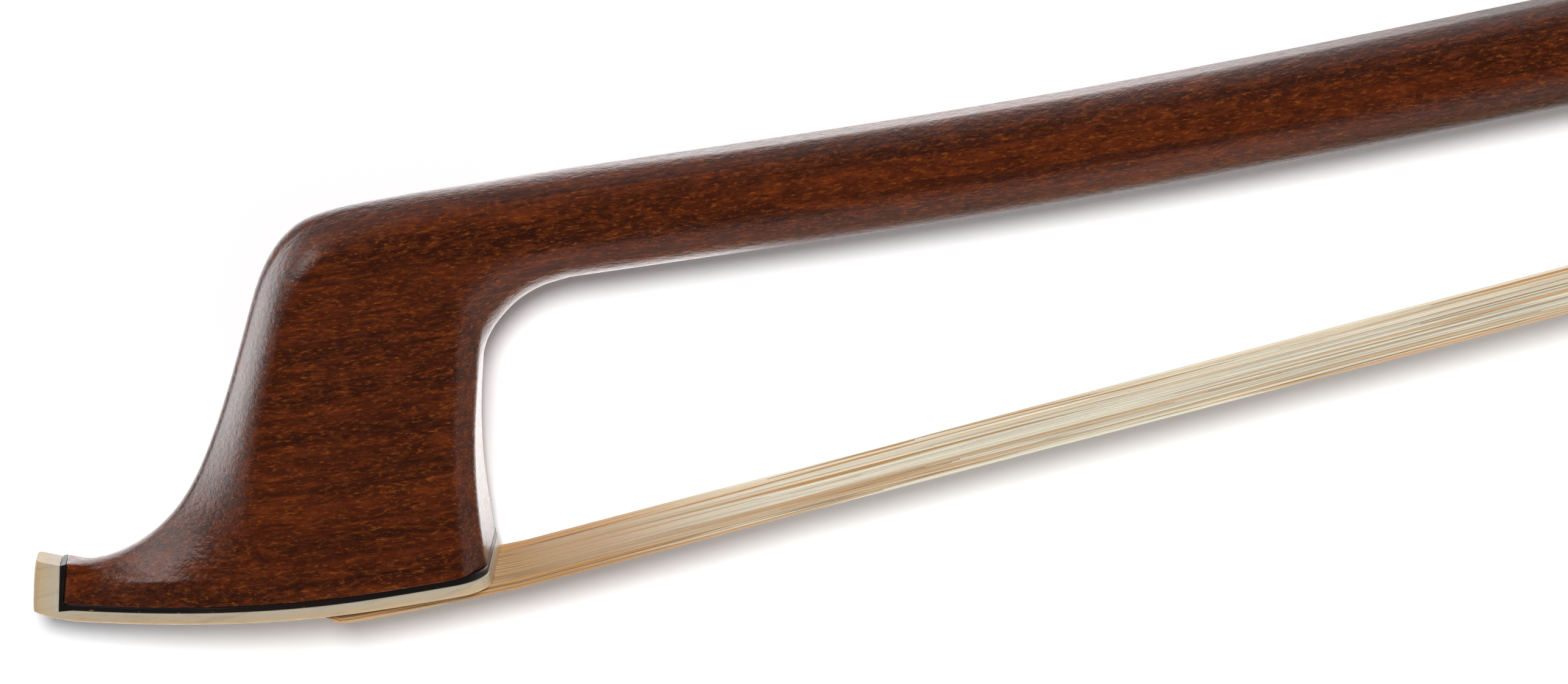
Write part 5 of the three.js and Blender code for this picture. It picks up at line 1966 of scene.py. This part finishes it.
@dataclass
class Studio:
    """A white table under soft light, and the camera where the photograph was taken from.

    The table shows brighter in reflections near the head and duller far in front of it: these
    reflection levels are painted, brighter than the light on the table near the head, so that they
    paint highlights and rims on the wood. The marks on it are places in the bow's frame with
    distances from them, in millimetres.
    The camera's distance, its clip end and the table's size are in metres.
    """

    pixels_wide: float = 2576.0
    pixels_high: float = 1123.0
    pixels_per_mm: float = 26.0
    heel_pixel: tuple[float, float] = (820.0, 940.0)
    roll: float = math.radians(14.8)
    pitch: float = math.radians(16.0)
    yaw: float = math.radians(8.0)
    distance: float = 1.4
    sensor: float = 36.0
    clip_end: float = 100.0
    table_size: float = 30.0
    table_light: float = 1.0
    table_plain: float = 1.0
    plain_reach: Reach = (75.0, 120.0)
    table_seen: float = 1.3
    # Reflection-only levels of the table: a painted reflection, brighter than the lit table near the head,
    # for the wood's highlights and rims.
    table_mirrored: float = 3.3
    table_near: float = 3.4
    table_front: float = 1.1
    table_dim: float = 0.45
    bright_spot: Place = (-32.0, 10.0, 0.0)
    spot_reach: Reach = (10.0, 38.0)
    heel_spot: Place = (9.0, 6.0, 0.0)
    heel_reach: Reach = (7.0, 14.0)
    far_front: Place = (20.0, -1000.0, 0.0)
    near_reach: Reach = (1014.0, 1024.0)
    near_end: Reach = (1029.0, 1036.0)
    room_light: float = 0.16
    room_colour: Place = (0.8, 0.88, 1.0)
    room_reflection: float = 0.05
    suns: tuple[Sun, ...] = (
        Sun("window", (0.15, 0.41, 1.0), 2.2, 10.0, in_reflections=False),
        Sun("front_fill", (0.2, -0.97, 0.13), 1.7, 18.0, in_reflections=False),
        Sun("left_wall", (-0.9, 0.0, 0.12), 0.25, 40.0, on_surfaces=False),
        Sun("left_window", (-0.6, 0.8, 0.14), 0.8, 30.0, on_surfaces=False),
        Sun("right_wall", (0.95, -0.27, 0.14), 0.3, 60.0, on_surfaces=False),
        Sun("front_wall", (0.1, -0.97, 0.2), 0.8, 80.0, on_surfaces=False),
    )

    def axes(self) -> tuple[Vector, Vector, Vector]:
        """The camera's right, up and back directions, from its pitch, yaw and roll.

        Returns:
            Three unit vectors.
        """
        back = Vector((0, math.sin(self.pitch), math.cos(self.pitch)))
        up = Vector((0, math.cos(self.pitch), -math.sin(self.pitch)))
        along = Vector((1, 0, 0))
        right = along * math.cos(self.yaw) - back * math.sin(self.yaw)
        away = back * math.cos(self.yaw) + along * math.sin(self.yaw)
        rolled = right * math.cos(self.roll) - up * math.sin(self.roll)
        raised = right * math.sin(self.roll) + up * math.cos(self.roll)
        return rolled, raised, away

    def camera(self) -> None:
        """Sets a long lens over the head, framed by where the plate's heel shows in the photograph."""
        right, up, back = self.axes()
        heel = Vector(SIZES.to_row(np.zeros(3)))
        off_right = (self.pixels_wide / 2 - self.heel_pixel[0]) / self.pixels_per_mm * MM
        off_up = (self.heel_pixel[1] - self.pixels_high / 2) / self.pixels_per_mm * MM
        data = bpy.data.cameras.new("camera")
        data.sensor_width = self.sensor
        data.lens = self.distance * self.sensor / (self.pixels_wide / self.pixels_per_mm * MM)
        data.clip_end = self.clip_end
        made = bpy.data.objects.new("camera", data)
        made.matrix_world = Matrix.LocRotScale(
            heel + right * off_right + up * off_up + back * self.distance,
            Matrix((right, up, back)).transposed().to_quaternion(), None,
        )
        bpy.context.scene.collection.objects.link(made)
        bpy.context.scene.camera = made

    @staticmethod
    def choose(
        s: Shader, share: Value | bpy.types.NodeSocket, *shaders: bpy.types.NodeSocket,
    ) -> bpy.types.NodeSocket:
        """A shader between two, by a share."""
        return s.node("ShaderNodeMixShader", {}, [share, *shaders]).outputs[0]

    @staticmethod
    def white(s: Shader, level: float) -> bpy.types.NodeSocket:
        """White cloth of a level: as many full coats as it holds, added up, and the rest. Above one it
        gives back more light than falls on it, which is painted light.

        Args:
            s: The material.
            level: How much light the cloth gives back.

        Returns:
            The shader.
        """
        total = None
        while level > 0:
            coat = s.node("ShaderNodeBsdfDiffuse", {}, {"Color": (*(min(level, 1.0),) * 3, 1)}).outputs[0]
            total = s.node("ShaderNodeAddShader", {}, [total, coat]).outputs[0] if total else coat
            level -= 1.0
        return total

    def beyond(self, s: Shader, spot: Place, reach: Reach) -> Value:
        """Zero near a spot of the bow's frame, and one past a reach of distances from it."""
        x, y, _ = SIZES.in_row(spot)
        return s.distance((x, y, 0.0)).ramp(*reach)

    def floor(self) -> None:
        """A wide white table top, whiter to the camera so that it clears to white past the shadow."""
        size = self.table_size
        corners = [(-size, -size, 0), (size, -size, 0), (size, size, 0), (-size, size, 0)]
        mesh = bpy.data.meshes.new("table_top")
        mesh.from_pydata(corners, [], [(0, 1, 2, 3)])
        table = bpy.data.objects.new("table_top", mesh)
        bpy.context.scene.collection.objects.link(table)
        s = Shader("table_white")
        path = s.node("ShaderNodeLightPath", {}, {})
        # In reflections the table is painted brighter near the head than it is lit: its bright band and
        # spots paint the wood's highlights and rims.
        behind = self.beyond(s, self.far_front, self.near_reach)
        beside = behind * (1.0 - self.beyond(s, self.far_front, self.near_end))
        mirrored = self.choose(s, behind, self.white(s, self.table_front), self.white(s, self.table_dim))
        mirrored = self.choose(s, beside, mirrored, self.white(s, self.table_near))
        for spot, reach in ((self.bright_spot, self.spot_reach), (self.heel_spot, self.heel_reach)):
            bright = self.white(s, self.table_mirrored)
            mirrored = self.choose(s, self.beyond(s, spot, reach), bright, mirrored)
        plain = self.beyond(s, self.bright_spot, self.plain_reach)
        mirrored = self.choose(s, plain, mirrored, self.white(s, self.table_plain))
        lit, seen = self.white(s, self.table_light), self.white(s, self.table_seen)
        shown = self.choose(s, path.outputs["Is Camera Ray"], lit, seen)
        shown = self.choose(s, path.outputs["Is Glossy Ray"], shown, mirrored)
        s.feed(s.tree.nodes["Material Output"].inputs[0], shown)
        mesh.materials.append(s.material)

    def light(self) -> None:
        """Hangs each sun and an even room that shines less in reflections."""
        for sun in self.suns:
            lamp = bpy.data.lights.new(sun.name, "SUN")
            lamp.energy = sun.strength
            lamp.angle = math.radians(sun.width)
            made = bpy.data.objects.new(sun.name, lamp)
            made.rotation_euler = Vector(sun.source).to_track_quat("Z", "Y").to_euler()
            made.visible_diffuse = sun.on_surfaces
            made.visible_glossy = sun.in_reflections
            bpy.context.scene.collection.objects.link(made)
        world = bpy.data.worlds.new("room")
        bpy.context.scene.world = world
        world.use_nodes = True
        room = Nodes(world.node_tree)
        mirrored = room.node("ShaderNodeLightPath", {}, {}).outputs["Is Glossy Ray"]
        levels = {"Value": mirrored, "To Min": self.room_light, "To Max": self.room_reflection}
        level = room.node("ShaderNodeMapRange", {}, levels).outputs[0]
        ground = room.tree.nodes["Background"].inputs
        room.feed(ground["Color"], (*self.room_colour, 1))
        room.feed(ground["Strength"], level)
        bpy.context.scene.view_settings.view_transform = "Standard"

    def build(self) -> None:
        """Sets the camera, the table and the light."""
        self.camera()
        self.floor()
        self.light()


def write_sizes() -> None:
    """Logs one line; the frame's box and the dressed bow's box are not written."""
    log.info("boxes written")


def main() -> None:
    """Builds the studio, the materials and each sub-assembly in order."""
    Studio().build()
    finishes = make_finishes()
    stick = Stick(finishes)
    others = [kind(finishes) for kind in (Facing, Hair, Head)]
    for part in (stick, *others, Grip(finishes, stick), Frog(finishes), Adjuster(finishes)):
        part.build()
        log.info("%s is built", type(part).__name__)
    write_sizes()


if __name__ == "__main__":
    logging.basicConfig(level=logging.INFO, format="%(message)s")
    main()
